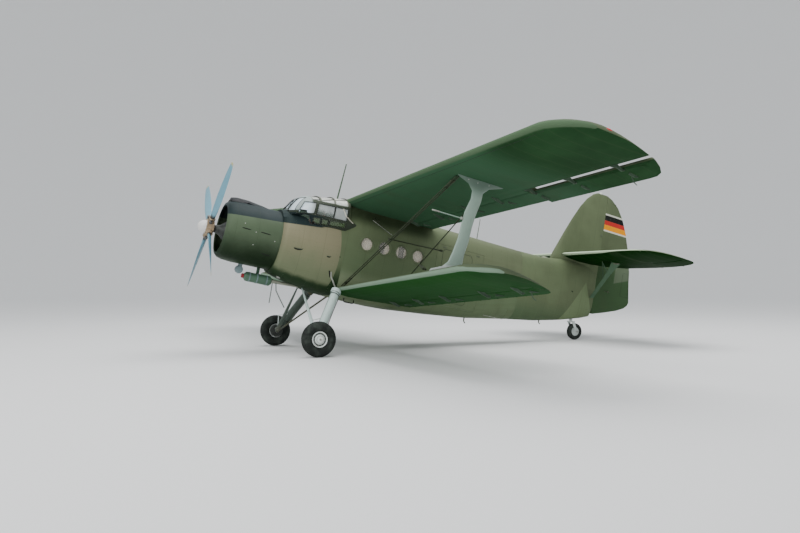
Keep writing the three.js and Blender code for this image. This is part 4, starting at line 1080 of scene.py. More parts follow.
# Under the nose hangs a drum-shaped heater muff in a strap, with a tapered duct to the cabin behind it.
# The intake is closed by a red blanking plug; an oil cooler stub and two drain pipes hang beside it.
duct_beige = (0.33, 0.34, 0.27)
muff = Shader("muff_and_duct", (0.13, 0.205, 0.165), 0.45)
x, s, h = muff.level()
patchy = muff.noise(5.0)
colour = muff.tint(patchy, (0.037, 0.092, 0.053), (0.067, 0.143, 0.087))
duct_colour = muff.tint(patchy, shade(duct_beige, 0.8), duct_beige)
colour = muff.tint(s.ramp(-0.866, -0.860), colour, duct_colour)
muff_gloss = patchy.scaled(0.3, 0.3)
smooth_skin("heater_muff", muff.finish(colour, muff_gloss, patchy, 0.2, 0.002), 40)
red_plug = coat("blanking_red", (0.22, 0.02, 0.025), 0.6)
MUFF_AXIS_H = 1.132
PLUG = [(0, -0.05), (0.045, -0.048), (0.054, -0.035), (0.056, 0.004), (0, 0.004)]
under = Form().turn(PLUG, (0, -1.536, MUFF_AXIS_H), ALONG, 24)
under.done("intake_plug", red_plug, slot="teal_paint")
COOLER = [(0.001, -0.07), (0.06, -0.068), (0.092, -0.05), (0.098, 0), (0.092, 0.05), (0.06, 0.068),
          (0.001, 0.07)]
bands = Form()
for s, radius in ((-1.40, 0.1145), (-1.215, 0.116), (-0.98, 0.1185)):
    inner, outer = radius - 0.001, radius + 0.004
    bands.turn([(inner, -0.014), (outer, -0.012), (outer, 0.012), (inner, 0.014)], (0, s, MUFF_AXIS_H),
               ALONG, 40, True)
bands.turn(COOLER, (0, -1.672, 1.255), (1, 0, 0), 32)
bands.tube([(0, -1.672, 1.30), (0, -1.655, 1.40)], 0.05, 16, 1.0, (1, 0, 0))
bands.done("muff_bands_and_cooler", coat("cooler_grey", (0.17, 0.23, 0.24), 0.5), slot="teal_paint")
drains = Form()
for x, radius, places in (
    (0.05, 0.013, ((-0.74, 1.12), (-0.70, 0.94), (-0.58, 0.78), (-0.42, 0.58))),
    (-0.05, 0.011, ((-0.80, 1.12), (-0.79, 0.92), (-0.78, 0.62))),
):
    drains.tube([(x, s, h) for s, h in places], radius, 8, 1.0, (1, 0, 0))
drains.done("drain_pipes", coat("drain_grey", (0.12, 0.15, 0.13), 0.5), slot="teal_paint")
belly_light = Form()
place, normal = hull_skin.hit((0.17, -0.75, 0.2), (0, 0, 1))
belly_light.turn([(0, -0.004), (0.052, -0.003), (0.048, 0.008), (0.02, 0.016), (0, 0.018)], place, normal, 24)
belly_light.done("belly_lamp", pale_metal, slot="white_paint")

# The exhaust is a rolled steel pipe that leaves the cowl low on the starboard side.
# It is welded along its seam, clamped to the engine inside the cowl, and scorched brown by the heat.
rust = Shader("exhaust_rust", (0.13, 0.075, 0.045), 0.7, 0.3)
flakes, burn = rust.noise(18.0, 6.0), rust.noise(4.0, 4.0)
rusted = rust.tint(burn.ramp(0.4, 0.65), (0.15, 0.08, 0.045), (0.06, 0.05, 0.045))
rusted = rust.tint(flakes.ramp(0.5, 0.7), rusted, (0.24, 0.14, 0.08), 0.5)
exhaust_rust = rust.finish(rusted, flakes.scaled(0.3, 0.5), flakes, 0.4, 0.002)
smooth_skin("exhaust_pipe", exhaust_rust, 40)

# The wings are doped fabric over metal ribs and spars, olive on top and faded by the sun, painted dark green
# below as painted shade.
# The upper wing's whole leading edge is a paler slat; the pale strip along the lower wing's nose is painted
# highlight.
UPPER_WING = {"root": (0.850, 0.365, 3.365), "chord": 2.4, "dihedral": 3.4, "incidence": 3.0, "tip": 8.35}
LOWER_WING = {"root": (0.900, 0.520, 1.226), "chord": 2.0, "dihedral": 4.36, "incidence": 1.0, "tip": 6.40}
WING_TOP, WING_UNDER = (0.105, 0.132, 0.078), (0.019, 0.056, 0.021)


def wing_paint(name, wing, band, nose_colour, lit, top=WING_TOP, under=WING_UNDER, zone=None):
    # Below, from the struts inwards, the colour is scaled by the factors of lit, painted light; zone paints
    # what differs
    shader = Shader(name, top, 0.7)
    shader.give("Specular IOR Level", 0.015)
    x, s, h = shader.level()
    (rx, ry, rz), lift, tilt = wing["root"], math.radians(wing["dihedral"]), math.radians(wing["incidence"])
    out, up = abs(x) - rx, h - rz
    z = up * math.cos(lift) - out * math.sin(lift)
    along = (s - ry) * math.cos(tilt) - z * math.sin(tilt)
    normal = shader.normal()[2]
    facing_up = normal.ramp(-0.25, 0.05)
    broad, weave = shader.noise(0.8, 5.0), shader.noise(60.0, 2.0)
    streaks = shader.noise(1.6, 4.0, (1, 0.2, 1))
    ribs = x.repeat(0.33, 0.014)
    upper = shader.tint(broad.ramp(0.35, 0.7), shade(top, 0.89), shade(top, 1.10))
    lower = shader.tint(broad.ramp(0.35, 0.7), shade(under, 0.82), shade(under, 1.2))
    painted_light_inboard = abs(x).ramp(7.6, 6.1)
    lower = shader.tint(painted_light_inboard, lower, tuple(value * times for value, times in zip(under, lit)))
    # Painted shade: the undersides take the dark under colour
    colour = shader.tint(facing_up, lower, upper)
    colour = shader.tint(streaks.ramp(0.55, 0.75), colour, shade(top, 0.5), 0.25)
    colour = shader.tint(ribs, colour, shade(top, 0.7), 0.10)
    past = (abs(x) - wing["tip"]).most(0.0)
    along = along - past * past
    # A band of nose_colour along each nose; on the lower wing and tailplane it is painted highlight
    leading = along.ramp(band + 0.006, band - 0.006) * normal.ramp(-0.80, -0.55)
    pale = shader.tint(broad, shade(nose_colour, 0.85), shade(nose_colour, 1.15))
    colour = shader.tint(leading, colour, pale)
    if zone:
        colour = zone(shader, colour, x, s, h)
    height = weave.scaled(0.15, ribs)
    gloss = broad.scaled(0.2, 0.55)
    return shader.finish(colour, gloss, height, 0.25, 0.004)


# The last three factors are painted light on the undersides inboard of the struts
upper_paint = wing_paint("upper_wing_fabric", UPPER_WING, 0.085, (0.080, 0.130, 0.072), (2.4, 2.0, 2.8))
lower_paint = wing_paint("lower_wing_fabric", LOWER_WING, 0.040, (0.180, 0.255, 0.185), (0.78, 1.25, 0.71))
for side_name, _ in SIDES:
    for node in ("wing_upper", "aileron", "flap_upper"):
        smooth_skin(f"{node}_{side_name}", upper_paint, 32)
    for node in ("wing_lower", "flap_lower"):
        smooth_skin(f"{node}_{side_name}", lower_paint, 32)


def on_wing(wing, skin, places, top):
    # The wing's skin at places given as a distance out from the middle and a part of the chord
    rx, ry, rz = wing["root"]
    lift, tilt = math.radians(wing["dihedral"]), math.radians(wing["incidence"])
    clear, look = (0.7, -1) if top else (-0.7, 1)
    starts = []
    for x, part in places:
        s = ry + part * wing["chord"] * math.cos(tilt)
        h = rz + (abs(x) - rx) * math.tan(lift) - part * wing["chord"] * math.sin(tilt)
        starts.append((x, s, h + clear))
    return skin.hits(starts, (0, 0, look))


def ribbed(node, wing, first, last, parts, paint, pitch=0.33):
    # Rib tapes: low welts over each rib, above and below
    for side_name, side in SIDES:
        name = f"{node}_{side_name}"
        skin, paths = Skin(name), []
        for k in range(int((last - first) / pitch) + 1):
            x = side * (first + pitch * k)
            paths += [on_wing(wing, skin, [(x, part) for part in parts], top) for top in (True, False)]
        paths = [path for path in paths if len(path) > 1]
        welts(name + "_rib_tapes", paths, paint, 0.016, 0.0140, 6, body_of[name], "olive_paint")


WING_PARTS = [0.012, 0.03, 0.06, 0.1, 0.17, 0.26, 0.37, 0.48, 0.6, 0.7, 0.745]
FLAP_PARTS = [0.775, 0.81, 0.86, 0.92, 0.975, 0.992]
for node, wing, first, last, parts, paint in (
    ("wing_upper", UPPER_WING, 1.16, 8.6, WING_PARTS, upper_paint),
    ("wing_lower", LOWER_WING, 1.16, 6.7, WING_PARTS[:-1], lower_paint),
    ("flap_upper", UPPER_WING, 1.16, 5.5, FLAP_PARTS, upper_paint),
    ("aileron", UPPER_WING, 5.95, 8.7, FLAP_PARTS[1:], upper_paint),
    ("flap_lower", LOWER_WING, 1.16, 6.4, FLAP_PARTS, lower_paint),
):
    ribbed(node, wing, first, last, parts, paint)

SPAN = [1.0 + 0.25 * k for k in range(31)]
slat_lines, spar_lines = [], []
for side_name, side in SIDES:
    skin, low_skin = Skin(f"wing_upper_{side_name}"), Skin(f"wing_lower_{side_name}")
    for part, top in ((0.115, True), (0.045, False)):
        slat_lines.append(on_wing(UPPER_WING, skin, [(side * x, part) for x in SPAN], top))
    for x in (2.8, 4.6, 6.4, 8.2):
        joint = [(side * x, part) for part in (0.006, 0.02, 0.05, 0.08, 0.115)]
        slat_lines.append(on_wing(UPPER_WING, skin, joint, True))
    for part in (0.2, 0.62):
        spar_lines.append(on_wing(UPPER_WING, skin, [(side * x, part) for x in SPAN], False))
    for part in (0.2, 0.58):
        spar_lines.append(on_wing(LOWER_WING, low_skin, [(side * x, part) for x in SPAN[:23]], False))
welts("slat_gaps", slat_lines, seal_black, 0.004, 0.001, slot="olive_paint")
welts("spar_tapes", spar_lines, upper_paint, 0.02, 0.0182, slot="olive_paint")

# Flaps and ailerons hang from pressed brackets under the wing, each pinned to an arm on the moving surface.
# They are alloy pressings riveted to the rear spar and brushed green with the wing.
bracket_paint = coat("bracket_green", (0.065, 0.105, 0.068), 0.5)
PIN = [(0, -0.024), (0.013, -0.024), (0.016, -0.014), (0.016, 0.014), (0.013, 0.024), (0, 0.024)]


def offset(*corners):
    return [base + Vector((0, aft, up)) for base, aft, up in corners]


def brackets(name, wing, fixed_node, moving_node, places, hinge_part, horn_places=()):
    chord = wing["chord"]
    for side_name, side in SIDES:
        fixed, moving = Form(), Form()
        under, surface = Skin(f"{fixed_node}_{side_name}"), Skin(f"{moving_node}_{side_name}")
        for x in places:
            ahead = [(side * x, hinge_part - gap / chord) for gap in (0.32, 0.25, 0.17)]
            spots = [point for point, _ in on_wing(wing, under, ahead, False)]
            if len(spots) < 3:
                continue
            a, b, c = spots
            pin = Vector((side * x, c.y + 0.15, c.z - 0.062))
            fixed.plate(offset(
                (a, 0, 0.006), (c, 0, 0.006), (pin, -0.045, 0.022), (pin, 0.010, 0.016), (pin, 0.016, -0.012),
                (pin, -0.03, -0.03), (c, -0.01, -0.058), (b, 0, -0.036), (a, 0.01, -0.012)), 0.016)
            fixed.turn(PIN, pin, (1, 0, 0), 14)
            behind = [(side * (x + 0.024), hinge_part + gap / chord) for gap in (0.13, 0.30)]
            spots = [point for point, _ in on_wing(wing, surface, behind, False)]
            if len(spots) == 2:
                root, tail = spots
                moving.plate(offset(
                    (root, -0.04, 0.006), (tail, 0, 0.006), (tail, -0.02, -0.016), (tail, -0.09, -0.030),
                    (root, 0, -0.042), (root, -0.045, -0.032)), 0.012)
        for root, _ in on_wing(wing, surface, [(side * x, hinge_part + 0.07) for x in horn_places], False):
            horn = offset((root, 0, 0.01), (root, 0.02, -0.06), (root, 0.07, -0.12), (root, 0.14, -0.15))
            moving.tube(horn, [0.014, 0.013, 0.011, 0.008], 8, 0.5)
        fixed.done(f"{name}_{side_name}_brackets", bracket_paint, slot="olive_paint")
        if moving.points:
            body = body_of[f"{moving_node}_{side_name}"]
            moving.done(f"{name}_{side_name}_horns", bracket_paint, body, "olive_paint")


brackets("upper_flap", UPPER_WING, "wing_upper", "flap_upper", (1.06, 2.30, 3.55, 4.78), 0.785)
brackets("aileron", UPPER_WING, "wing_upper", "aileron", (5.80, 6.98, 8.20), 0.82, (8.20,))
brackets("lower_flap", LOWER_WING, "wing_lower", "flap_lower", (1.30, 2.50, 3.73, 5.28, 6.40), 0.75, (6.40,))

# Coloured position lamps sit in teardrop glasses at the upper wing tips, red to port and green to starboard.
# A small white lamp caps the fin; each has a pressed base screwed to the skin.
for side_name, side, colour in (("port", 1, (0.55, 0.02, 0.02)), ("stbd", -1, (0.02, 0.35, 0.12))):
    lens = Shader(f"lamp_glass_{side_name}", colour, 0.12)
    facets = lens.noise(60.0, 2.0)
    tinted = lens.tint(facets, shade(colour, 0.8), shade(colour, 1.3))
    lens_glass = lens.finish(tinted, None, facets, 0.1, 0.001)
    tip = Skin(f"wing_upper_{side_name}").beside([(1.24, 3.845)], side, 9.6)[0][0]
    base = tip + Vector((-0.045 * side, 0, 0.012)) + Vector((0, 0, 0.012))
    teardrop = [(0, -0.075), (0.02, -0.07), (0.032, -0.05), (0.036, -0.02), (0.032, 0.02), (0.02, 0.06),
                (0, 0.09)]
    Form().turn(teardrop, base, ALONG, 24).done(f"tip_lamp_{side_name}", lens_glass, slot="glass")

# The interplane strut is a faired post between the wings, flared into feet where it meets them.
# It is a welded steel core in an alloy fairing, painted pale grey-blue, with a polished shoe at its foot.
STRUT_BLUE = (0.290, 0.395, 0.330)
strut = Shader("strut_paint", STRUT_BLUE, 0.42)
x, s, h = strut.level()
clouds, runs = strut.noise(2.6, 5.0), strut.noise(9.0, 4.0, (1, 1, 0.2))
colour = strut.tint(clouds, shade(STRUT_BLUE, 0.8), shade(STRUT_BLUE, 1.2))
colour = strut.tint(runs.ramp(0.55, 0.75), colour, (0.12, 0.14, 0.11), 0.35)
shoe = h.ramp(1.86, 1.80) * s.ramp(1.30, 1.22)
# Painted shadow: the strut darkens to green towards its head under the upper wing
colour = strut.tint(h.ramp(3.12, 3.42), colour, (0.038, 0.085, 0.052), 0.75)
colour = strut.tint(shoe, colour, (0.46, 0.50, 0.48))
strut_paint = strut.finish(colour, clouds.scaled(0.25, 0.3), clouds, 0.15, 0.002)
STRUT_BOLTS = ((0.95, 3.47), (1.15, 3.45), (1.4, 3.46), (1.6, 3.50), (0.98, 1.86), (1.1, 1.82), (1.25, 1.80),
               (1.36, 1.72))
OUTSIDE_STRUT = 7.5
strut_bolts, strut_seams = [], []
for side_name, side in SIDES:
    smooth_skin(f"interplane_strut_{side_name}", strut_paint, 40)
    skin = Skin(f"interplane_strut_{side_name}")
    strut_bolts += skin.beside(STRUT_BOLTS, side, OUTSIDE_STRUT)
    for h in (2.02, 3.33):
        strut_seams.append(skin.beside([(0.98 + 0.02 * k, h) for k in range(24)], side, OUTSIDE_STRUT))
studs("strut_bolts", strut_bolts, pale_metal, 0.012, 0.006, 0.85, 6, slot="steel")
strut_seams = [path for path in strut_seams if len(path) > 1]
welts("strut_seams", strut_seams, strut_paint, 0.008, 0.006, slot="pale_blue_paint")
pitot = Form()
pitot.turn([(0.011, 0), (0.015, 0.0), (0.015, 0.16), (0.011, 0.165)], (5.395, 0.386, 2.757), ALONG, 16)
pitot.turn([(0.0115, 0), (0.03, 0), (0.026, 0.04), (0.0115, 0.045)], (5.395, 1.008, 2.7475), ALONG, 16)
pitot.done("pitot_head", pale_metal, slot="pale_blue_paint")

# Flying and landing wires are forged streamline rods in spaced pairs, tied to each other by a spreader bar.
# Each ends in a fork and pin with a locking nut, and all are painted dark olive.
WIRE_ENDS = (
    ((0.960, 0.575, 1.330), (5.440, 0.730, 3.490), 0.05),
    ((0.930, 1.039, 3.105), (5.142, 0.600, 1.640), 0.05),
    ((0.950, 1.880, 1.310), (5.480, 1.310, 3.290), 0.0),
)
SPREADER = ((3.100, 0.635, 2.368), (3.372, 1.750, 2.356))
wire_paint = coat("wire_paint", (0.038, 0.048, 0.026), 0.5, 0.1)
forks = Form()
for side_name, side in SIDES:
    smooth_skin(f"bracing_wires_{side_name}", wire_paint, 40)
    for near, far, gap in WIRE_ENDS:
        for shift in ((0, gap) if gap else (0,)):
            a, b = (Vector((side * end[0], end[1] + shift, end[2])) for end in (near, far))
            way = (b - a).normalized()
            for end, inward in ((a, way), (b, -way)):
                begin = end + inward * 0.14
                barrel = [begin + inward * more for more in (0, 0.05, 0.10, 0.22, 0.26)]
                forks.tube(barrel, [0.021, 0.021, 0.0175, 0.016, 0.0135], 10)
                nut = [(0.0132, 0.0), (0.022, 0.0), (0.022, 0.018), (0.0132, 0.018)]
                forks.turn(nut, begin + inward * 0.27, inward, 6, True)
    for at, wide in ((SPREADER[0], 0.045), (SPREADER[1], 0.02)):
        x, s, h = at
        low, high = (side * x - 0.022, s - 0.02, h - 0.022), (side * x + 0.022, s + wide + 0.025, h + 0.022)
        forks.block(low, high, 0.005)
forks.done("wire_forks", wire_paint, slot="steel")

# Two aerial masts stand on the spine; the tall front one is a tapered wooden blade, the rear one a short rod.
# Each stands in a metal foot that is screwed to the roof sheet, and is brushed green with the hull.
for node in ("mast_front", "mast_rear"):
    smooth_skin(node, coat(node + "_paint", (0.075, 0.115, 0.07), 0.5), 40)
FOOT = [(0.0, 0.0), (0.055, 0.0), (0.05, 0.012), (0.034, 0.02), (0.03, 0.05), (0.0, 0.05)]
feet = Form()
for point, _ in hull_skin.over([(0.0, 0.380), (0.0, 4.500)]):
    feet.turn(FOOT, point - UPWARDS * 0.004, UPWARDS, 20)
feet.done("mast_feet", fitting_paint, slot="olive_paint")

# The fin is riveted sheet, the rudder fabric over ribs; a broad striped flag is painted on each rudder side.
# The rudder hangs on the fin's post and carries a hinged trim tab low on its trailing edge.
FLAG_TOP, FLAG_LOW, FLAG_FRONT = 5.136, 4.610, 8.583
FLAG_BANDS = ((0.09, (0.66, 0.66, 0.56)), (0.39, (0.010, 0.011, 0.011)), (0.63, (0.52, 0.030, 0.024)),
              (0.91, (0.86, 0.32, 0.002)), (1.01, (0.66, 0.66, 0.56)))
FIN_GREEN = (0.122, 0.152, 0.082)


def fin_zones(shader, colour, x, s, h):
    lean = s - h * 0.36
    front = lean.ramp(5.86, 5.72)
    colour = shader.tint(front, colour, (0.165, 0.195, 0.115), 0.6)
    # Painted shade: the fin darkens towards its foot below the tailplane
    return shader.tint(h.ramp(3.3, 2.6), colour, (0.105, 0.132, 0.070))


def rudder_zones(shader, colour, x, s, h):
    # Painted shade: the rudder darkens towards its foot, near and below the tailplane
    colour = shader.tint(h.ramp(4.3, 3.3), colour, (0.042, 0.084, 0.035))
    patch = (h - s * 0.34).ramp(0.0, 0.02) * (s.ramp(9.27, 9.31) * h.ramp(3.95, 3.75))
    colour = shader.tint(patch, colour, (0.105, 0.140, 0.085))
    down = (FLAG_TOP - h) * (1 / (FLAG_TOP - FLAG_LOW))
    flag, last = None, -0.05
    for end, band in FLAG_BANDS:
        stripe = down.inside(last, end, 0.004)
        flag = shader.tint(stripe, flag or band, band)
        last = end
    # The flag's paint is rubbed through in specks
    wear_and_painted_light = shader.noise(14.0, 4.0).ramp(0.62, 0.72)
    flag = shader.tint(wear_and_painted_light, flag, (0.16, 0.17, 0.12), 0.3)
    front = (FLAG_TOP - h).scaled(0.0616, FLAG_FRONT)
    on_flag = down.inside(0.0, 1.0, 0.004) * (s - front).ramp(-0.004, 0.004)
    return shader.tint(on_flag, colour, flag)


smooth_skin("fin", painted_sheet("fin_paint", FIN_GREEN, fin_zones), 34)
rudder_paint = painted_sheet("rudder_paint", shade(FIN_GREEN, 0.92), rudder_zones)
smooth_skin("rudder", rudder_paint, 34)
rudder_skin, fin_skin = Skin("rudder"), Skin("fin")


def upright(skin, rows, first, last, side, steps):
    paths = [skin.beside([(first + (last - first) * k / steps, h) for k in range(steps + 1)], side, 1.0)
             for h in rows]
    return [path for path in paths if len(path) > 2]


rudder_ribs, fin_rows = [], []
for _, side in SIDES:
    rudder_ribs += upright(rudder_skin, [2.35 + 0.26 * k for k in range(13)], 8.62, 9.95, side, 20)
    for path in upright(fin_skin, [2.9 + 0.36 * k for k in range(8)], 6.9, 8.66, side, 90):
        fin_rows += spaced(path, 0.07)
welts("rudder_rib_tapes", rudder_ribs, rudder_paint, 0.014, 0.0122, 6, "rudder", "olive_paint")
studs("fin_rivets", fin_rows, cabin_paint, 0.0055, 0.0025, slot="olive_paint")
TAB = [(9.60, 2.85), (9.905, 2.85), (9.90, 3.55), (9.60, 3.55)]
tab_gaps = [around(rudder_skin, TAB, side) for _, side in SIDES]
welts("rudder_tab_gap", tab_gaps, seal_black, 0.003, 0.0005, 6, "rudder", "olive_paint")
base, normal = on_side(rudder_skin, 8.98, 2.87)
tab_rod = Form()
tab_rod.tube([base, base + normal * 0.045, base + normal * 0.05 + Vector((0, 0.17, 0))],
             [0.008, 0.007, 0.005], 8)
tab_rod.block(base + Vector((-0.01, 0.12, -0.02)), base + Vector((0.025, 0.15, 0.03)), 0.004)
tab_rod.done("rudder_tab_rod", fitting_paint, "rudder", "olive_paint")
plates = Form()
for h in (2.75, 4.45):
    for _, side in SIDES:
        for point, _ in fin_skin.beside([(8.56, h)], side, 1.0):
            plates.block(point + Vector((-0.012, -0.03, -0.035)), point + Vector((0.012, 0.02, 0.035)), 0.004)
plates.done("rudder_hinge_plates", fitting_paint, slot="olive_paint")
lamp_white = coat("lamp_white", (0.72, 0.72, 0.68), 0.3)
cap = Form()
fin_top = fin_skin.over([(0.0, 8.343)], 6.4)[0][0]
cap.turn([(0, -0.01), (0.028, -0.01), (0.03, 0.01), (0.026, 0.03), (0.015, 0.042), (0, 0.046)], fin_top,
         sides=20)
cap.done("fin_lamp", lamp_white, slot="white_paint")
bump = Form()
spine = hull_skin.over([(0.0, 6.60 + 0.035 * k) for k in range(9)])
swell = [0.01 + 0.075 * math.sin(math.pi * k / 8) ** 0.7 for k in range(9)]
bump.tube([point - UPWARDS * 0.02 for point, _ in spine], swell, 16, 0.55, (1, 0, 0))
bump.done("spine_blister", coat("blister_paint", (0.33, 0.35, 0.25), 0.5), slot="olive_paint")
# Painted shade: the tail slot is a black mark on the cone
slot_mark = Form()
place, lean = on_side(Skin("tail_cone"), 7.72, 2.62)[0], Vector((0, 0.03, -0.01))
slot_mark.tube([place - lean, place + lean], 0.016, 8, 0.3, (0, 0, 1))
slot_mark.done("tail_slot", black_and_recess_shade, slot="olive_paint")

# Tailplane and elevators are fabric over ribs, olive above and painted nearly black-green below as painted
# shade.
# Each half is held by a faired strut from the tail cone; the elevators carry trim tabs and balance horns.
TAIL_WING = {"root": (0.0, 7.29, 3.63), "chord": 2.06, "dihedral": 0.0, "incidence": 0.0, "tip": 3.1}


def tail_brace(shader, colour, x, s, h):
    brace = h.ramp(3.52, 3.48) * abs(x).ramp(1.56, 1.50)
    return shader.tint(brace, colour, (0.075, 0.130, 0.080))


# The pale nose colour is painted highlight, the near-black under colour painted shade
tail_paint = wing_paint("tailplane_fabric", TAIL_WING, 0.08, (0.46, 0.56, 0.39), (1.0, 1.0, 1.0),
                        (0.160, 0.198, 0.124), (0.0015, 0.023, 0.0013), tail_brace)
BRACE_CUTS, BRACE_FOOT_H, BRACE_FOOT_S = (3.44, 3.36, 3.26, 3.12), 2.59, 8.49


def slim_brace(work):
    # The brace keeps the solid's flared head and foot, and narrows to a slim blade between them
    for cut in BRACE_CUTS:
        everything = work.verts[:] + work.edges[:] + work.faces[:]
        bmesh.ops.bisect_plane(work, geom=everything, plane_co=PARKED @ Vector((0, 8.2, cut)),
                               plane_no=PARKED.to_3x3() @ UPWARDS)
    for vertex in work.verts:
        x, s, h = LEVEL @ vertex.co
        if h < 3.5 and 0.1 < abs(x) < 1.56:
            up = h - BRACE_FOOT_H
            middle = BRACE_FOOT_S - 0.373 * up
            slim = (0.125 + 0.04 * up + max(0, h - 3.12) ** 2) / (0.156 + 0.178 * up)
            vertex.co = PARKED @ Vector((x, middle + (s - middle) * min(slim, 1), h))


for side_name, side in SIDES:
    smooth_skin(f"tailplane_{side_name}", tail_paint, 34, slim_brace)
    smooth_skin(f"elevator_{side_name}", tail_paint, 34)
ribbed("tailplane", TAIL_WING, 0.45, 3.3, [0.01, 0.03, 0.08, 0.16, 0.3, 0.44, 0.51], tail_paint, 0.3)
ribbed("elevator", TAIL_WING, 0.45, 3.2, [0.57, 0.62, 0.7, 0.8, 0.9, 0.97], tail_paint, 0.3)
TRIM_TAB = [(0.75, 8.98), (1.85, 8.98), (1.85, 9.30), (0.75, 9.31)]
for side_name, side in SIDES:
    node = f"elevator_{side_name}"
    path = Skin(node).over([(side * x, s) for x, s in outline_of(TRIM_TAB)])
    welts(f"elevator_tab_gap_{side_name}", [path + path[:1]], seal_black, 0.003, 0.0005, 6, node,
          "olive_paint")
strut_fittings = Form()
for _, side in SIDES:
    way = (Vector((side * 1.5, 8.115, 3.60)) - Vector((side * 0.15, 8.49, 2.59))).normalized()
    head = Vector((side * 1.36, 8.155, 3.495))
    strut_fittings.tube([head, head + way * 0.05], 0.032, 12, 3.2, tuple(way.cross(ALONG)))
strut_fittings.done("tail_strut_fittings", fitting_paint, slot="olive_paint")

# The tail wheel turns in a fork that swivels under the tail: white enamelled fork and disc, black tyre.
# Its axle has a castle nut each side, and the leg above is a short steel oleo.
gear_white = coat("gear_white", (0.60, 0.66, 0.63), 0.38, 0.0, 0.12, 0.25)
smooth_skin("tail_fork", gear_white, 40)
smooth_skin("tail_leg", coat("tail_leg_steel", (0.32, 0.34, 0.33), 0.4, 0.3), 40)
smooth_skin("tail_rim", gear_white, 40)
rubber = Shader("tyre_rubber", (0.022, 0.026, 0.023), 0.8)
dust, grain = rubber.noise(5.0, 5.0), rubber.noise(70.0, 3.0)
dusty = rubber.tint(dust.ramp(0.4, 0.72), (0.014, 0.017, 0.015), (0.045, 0.055, 0.046))
tyre_rubber = rubber.finish(dusty, dust.scaled(0.25, 0.62), grain, 0.25, 0.002)
TYRE_SIDE = ((0, 0.28), (0.12, 0.37), (0.28, 0.455), (0.5, 0.5), (0.72, 0.445), (0.88, 0.335), (0.97, 0.18))


def tyre(name, node, radius, width, bead, grooves, body):
    # Round in section like the solid it stands for, with grooves turned into its tread
    half = [(bead + (radius - bead) * up, width * out) for up, out in TYRE_SIDE]
    corners = [(r, -t) for r, t in half] + [(radius, 0.0)] + [(r, t) for r, t in reversed(half)]
    profile = []
    for k in range(len(corners) - 1):
        p0, p1, p2, p3 = (corners[min(max(k + j, 0), len(corners) - 1)] for j in (-1, 0, 1, 2))
        for step in range(6):
            t = step / 6
            r, across = (
                0.5 * (2 * b + (c - a) * t + (2 * a - 5 * b + 4 * c - d) * t * t
                       + (3 * b - a - 3 * c + d) * t ** 3)
                for a, b, c, d in zip(p0, p1, p2, p3))
            r, across = min(r, radius), max(-width / 2, min(width / 2, across))
            if r > bead + (radius - bead) * 0.8 and any(abs(across - groove) < 0.006 for groove in grooves):
                r -= 0.006
            profile.append((r, across))
    profile.append(corners[-1])
    low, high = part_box(node)
    made = Form().turn(profile, (low + high) / 2, (1, 0, 0), 96, True)
    made = made.done(name, tyre_rubber, body, "rubber", 30, True)
    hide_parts(node)


tyre("tail_tyre_ribbed", "tail_tyre", 0.235, 0.170, 0.125, (-0.03, 0.0, 0.03), "tail_wheel")
rim_low, rim_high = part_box("tail_rim")
tail_hub = (rim_low + rim_high) / 2
nuts, rim_bolts = Form(), []
for _, side in SIDES:
    nuts.turn([(0, 0), (0.03, 0), (0.03, 0.008), (0.019, 0.01), (0.019, 0.026), (0, 0.026)],
              tail_hub + Vector((side * 0.142, 0, 0)), (side, 0, 0), 6)
    for a in turns(8):
        place = tail_hub + Vector((side * 0.056, 0.075 * math.cos(a), 0.075 * math.sin(a)))
        rim_bolts.append((LEVEL @ place, Vector((side, 0, 0))))
nuts.done("tail_axle_nuts", pale_metal, "tail_fork", "steel", parked=True)
studs("tail_rim_bolts", rim_bolts, pale_metal, 0.007, 0.007, 0.85, 6, "tail_wheel", "steel")

# Each main wheel hangs on a slanted oleo leg braced fore and aft to the hull, all steel tube in white enamel.
# The oleo's cylinder ends in a capped ball joint under the lower wing; the rear brace is brushed olive.
leg = Shader("leg_enamel", (0.60, 0.64, 0.62), 0.36)
x, s, h = leg.level()
clouds, chips = leg.noise(3.5, 5.0), leg.noise(26.0, 4.0)
across = abs(x)
slanted = across + h * 0.518
brace = slanted.ramp(1.46, 1.44) * s.ramp(0.02, 0.05)
colour = leg.tint(clouds, (0.44, 0.56, 0.52), (0.60, 0.72, 0.68))
# Painted shade: faces turned in towards the belly are painted near-black green
facing = leg.normal()[0]
inward = (facing * leg.math("SIGN", x)).ramp(0.25, -0.15)
colour = leg.tint(inward, colour, (0.016, 0.036, 0.017), 0.93)
colour = leg.tint(brace, colour, leg.tint(clouds, (0.045, 0.058, 0.030), (0.095, 0.090, 0.048)))
colour = leg.tint(chips.ramp(0.6, 0.7), colour, (0.14, 0.15, 0.13), 0.4)
colour = leg.tint(h.ramp(0.22, 0.05), colour, (0.18, 0.17, 0.13), 0.5)
leg_enamel = leg.finish(colour, clouds.scaled(0.25, 0.25), chips, 0.1, 0.001)
OLEO = ((1.525, 0.030, 0.090), (1.411, 0.129, 0.310), (0.965, 0.462, 1.170))
BRAKE_PLATE = [(0.052, -0.010), (0.150, -0.010), (0.158, -0.002), (0.158, 0.010), (0.052, 0.010)]
rings, links = Form(), Form()
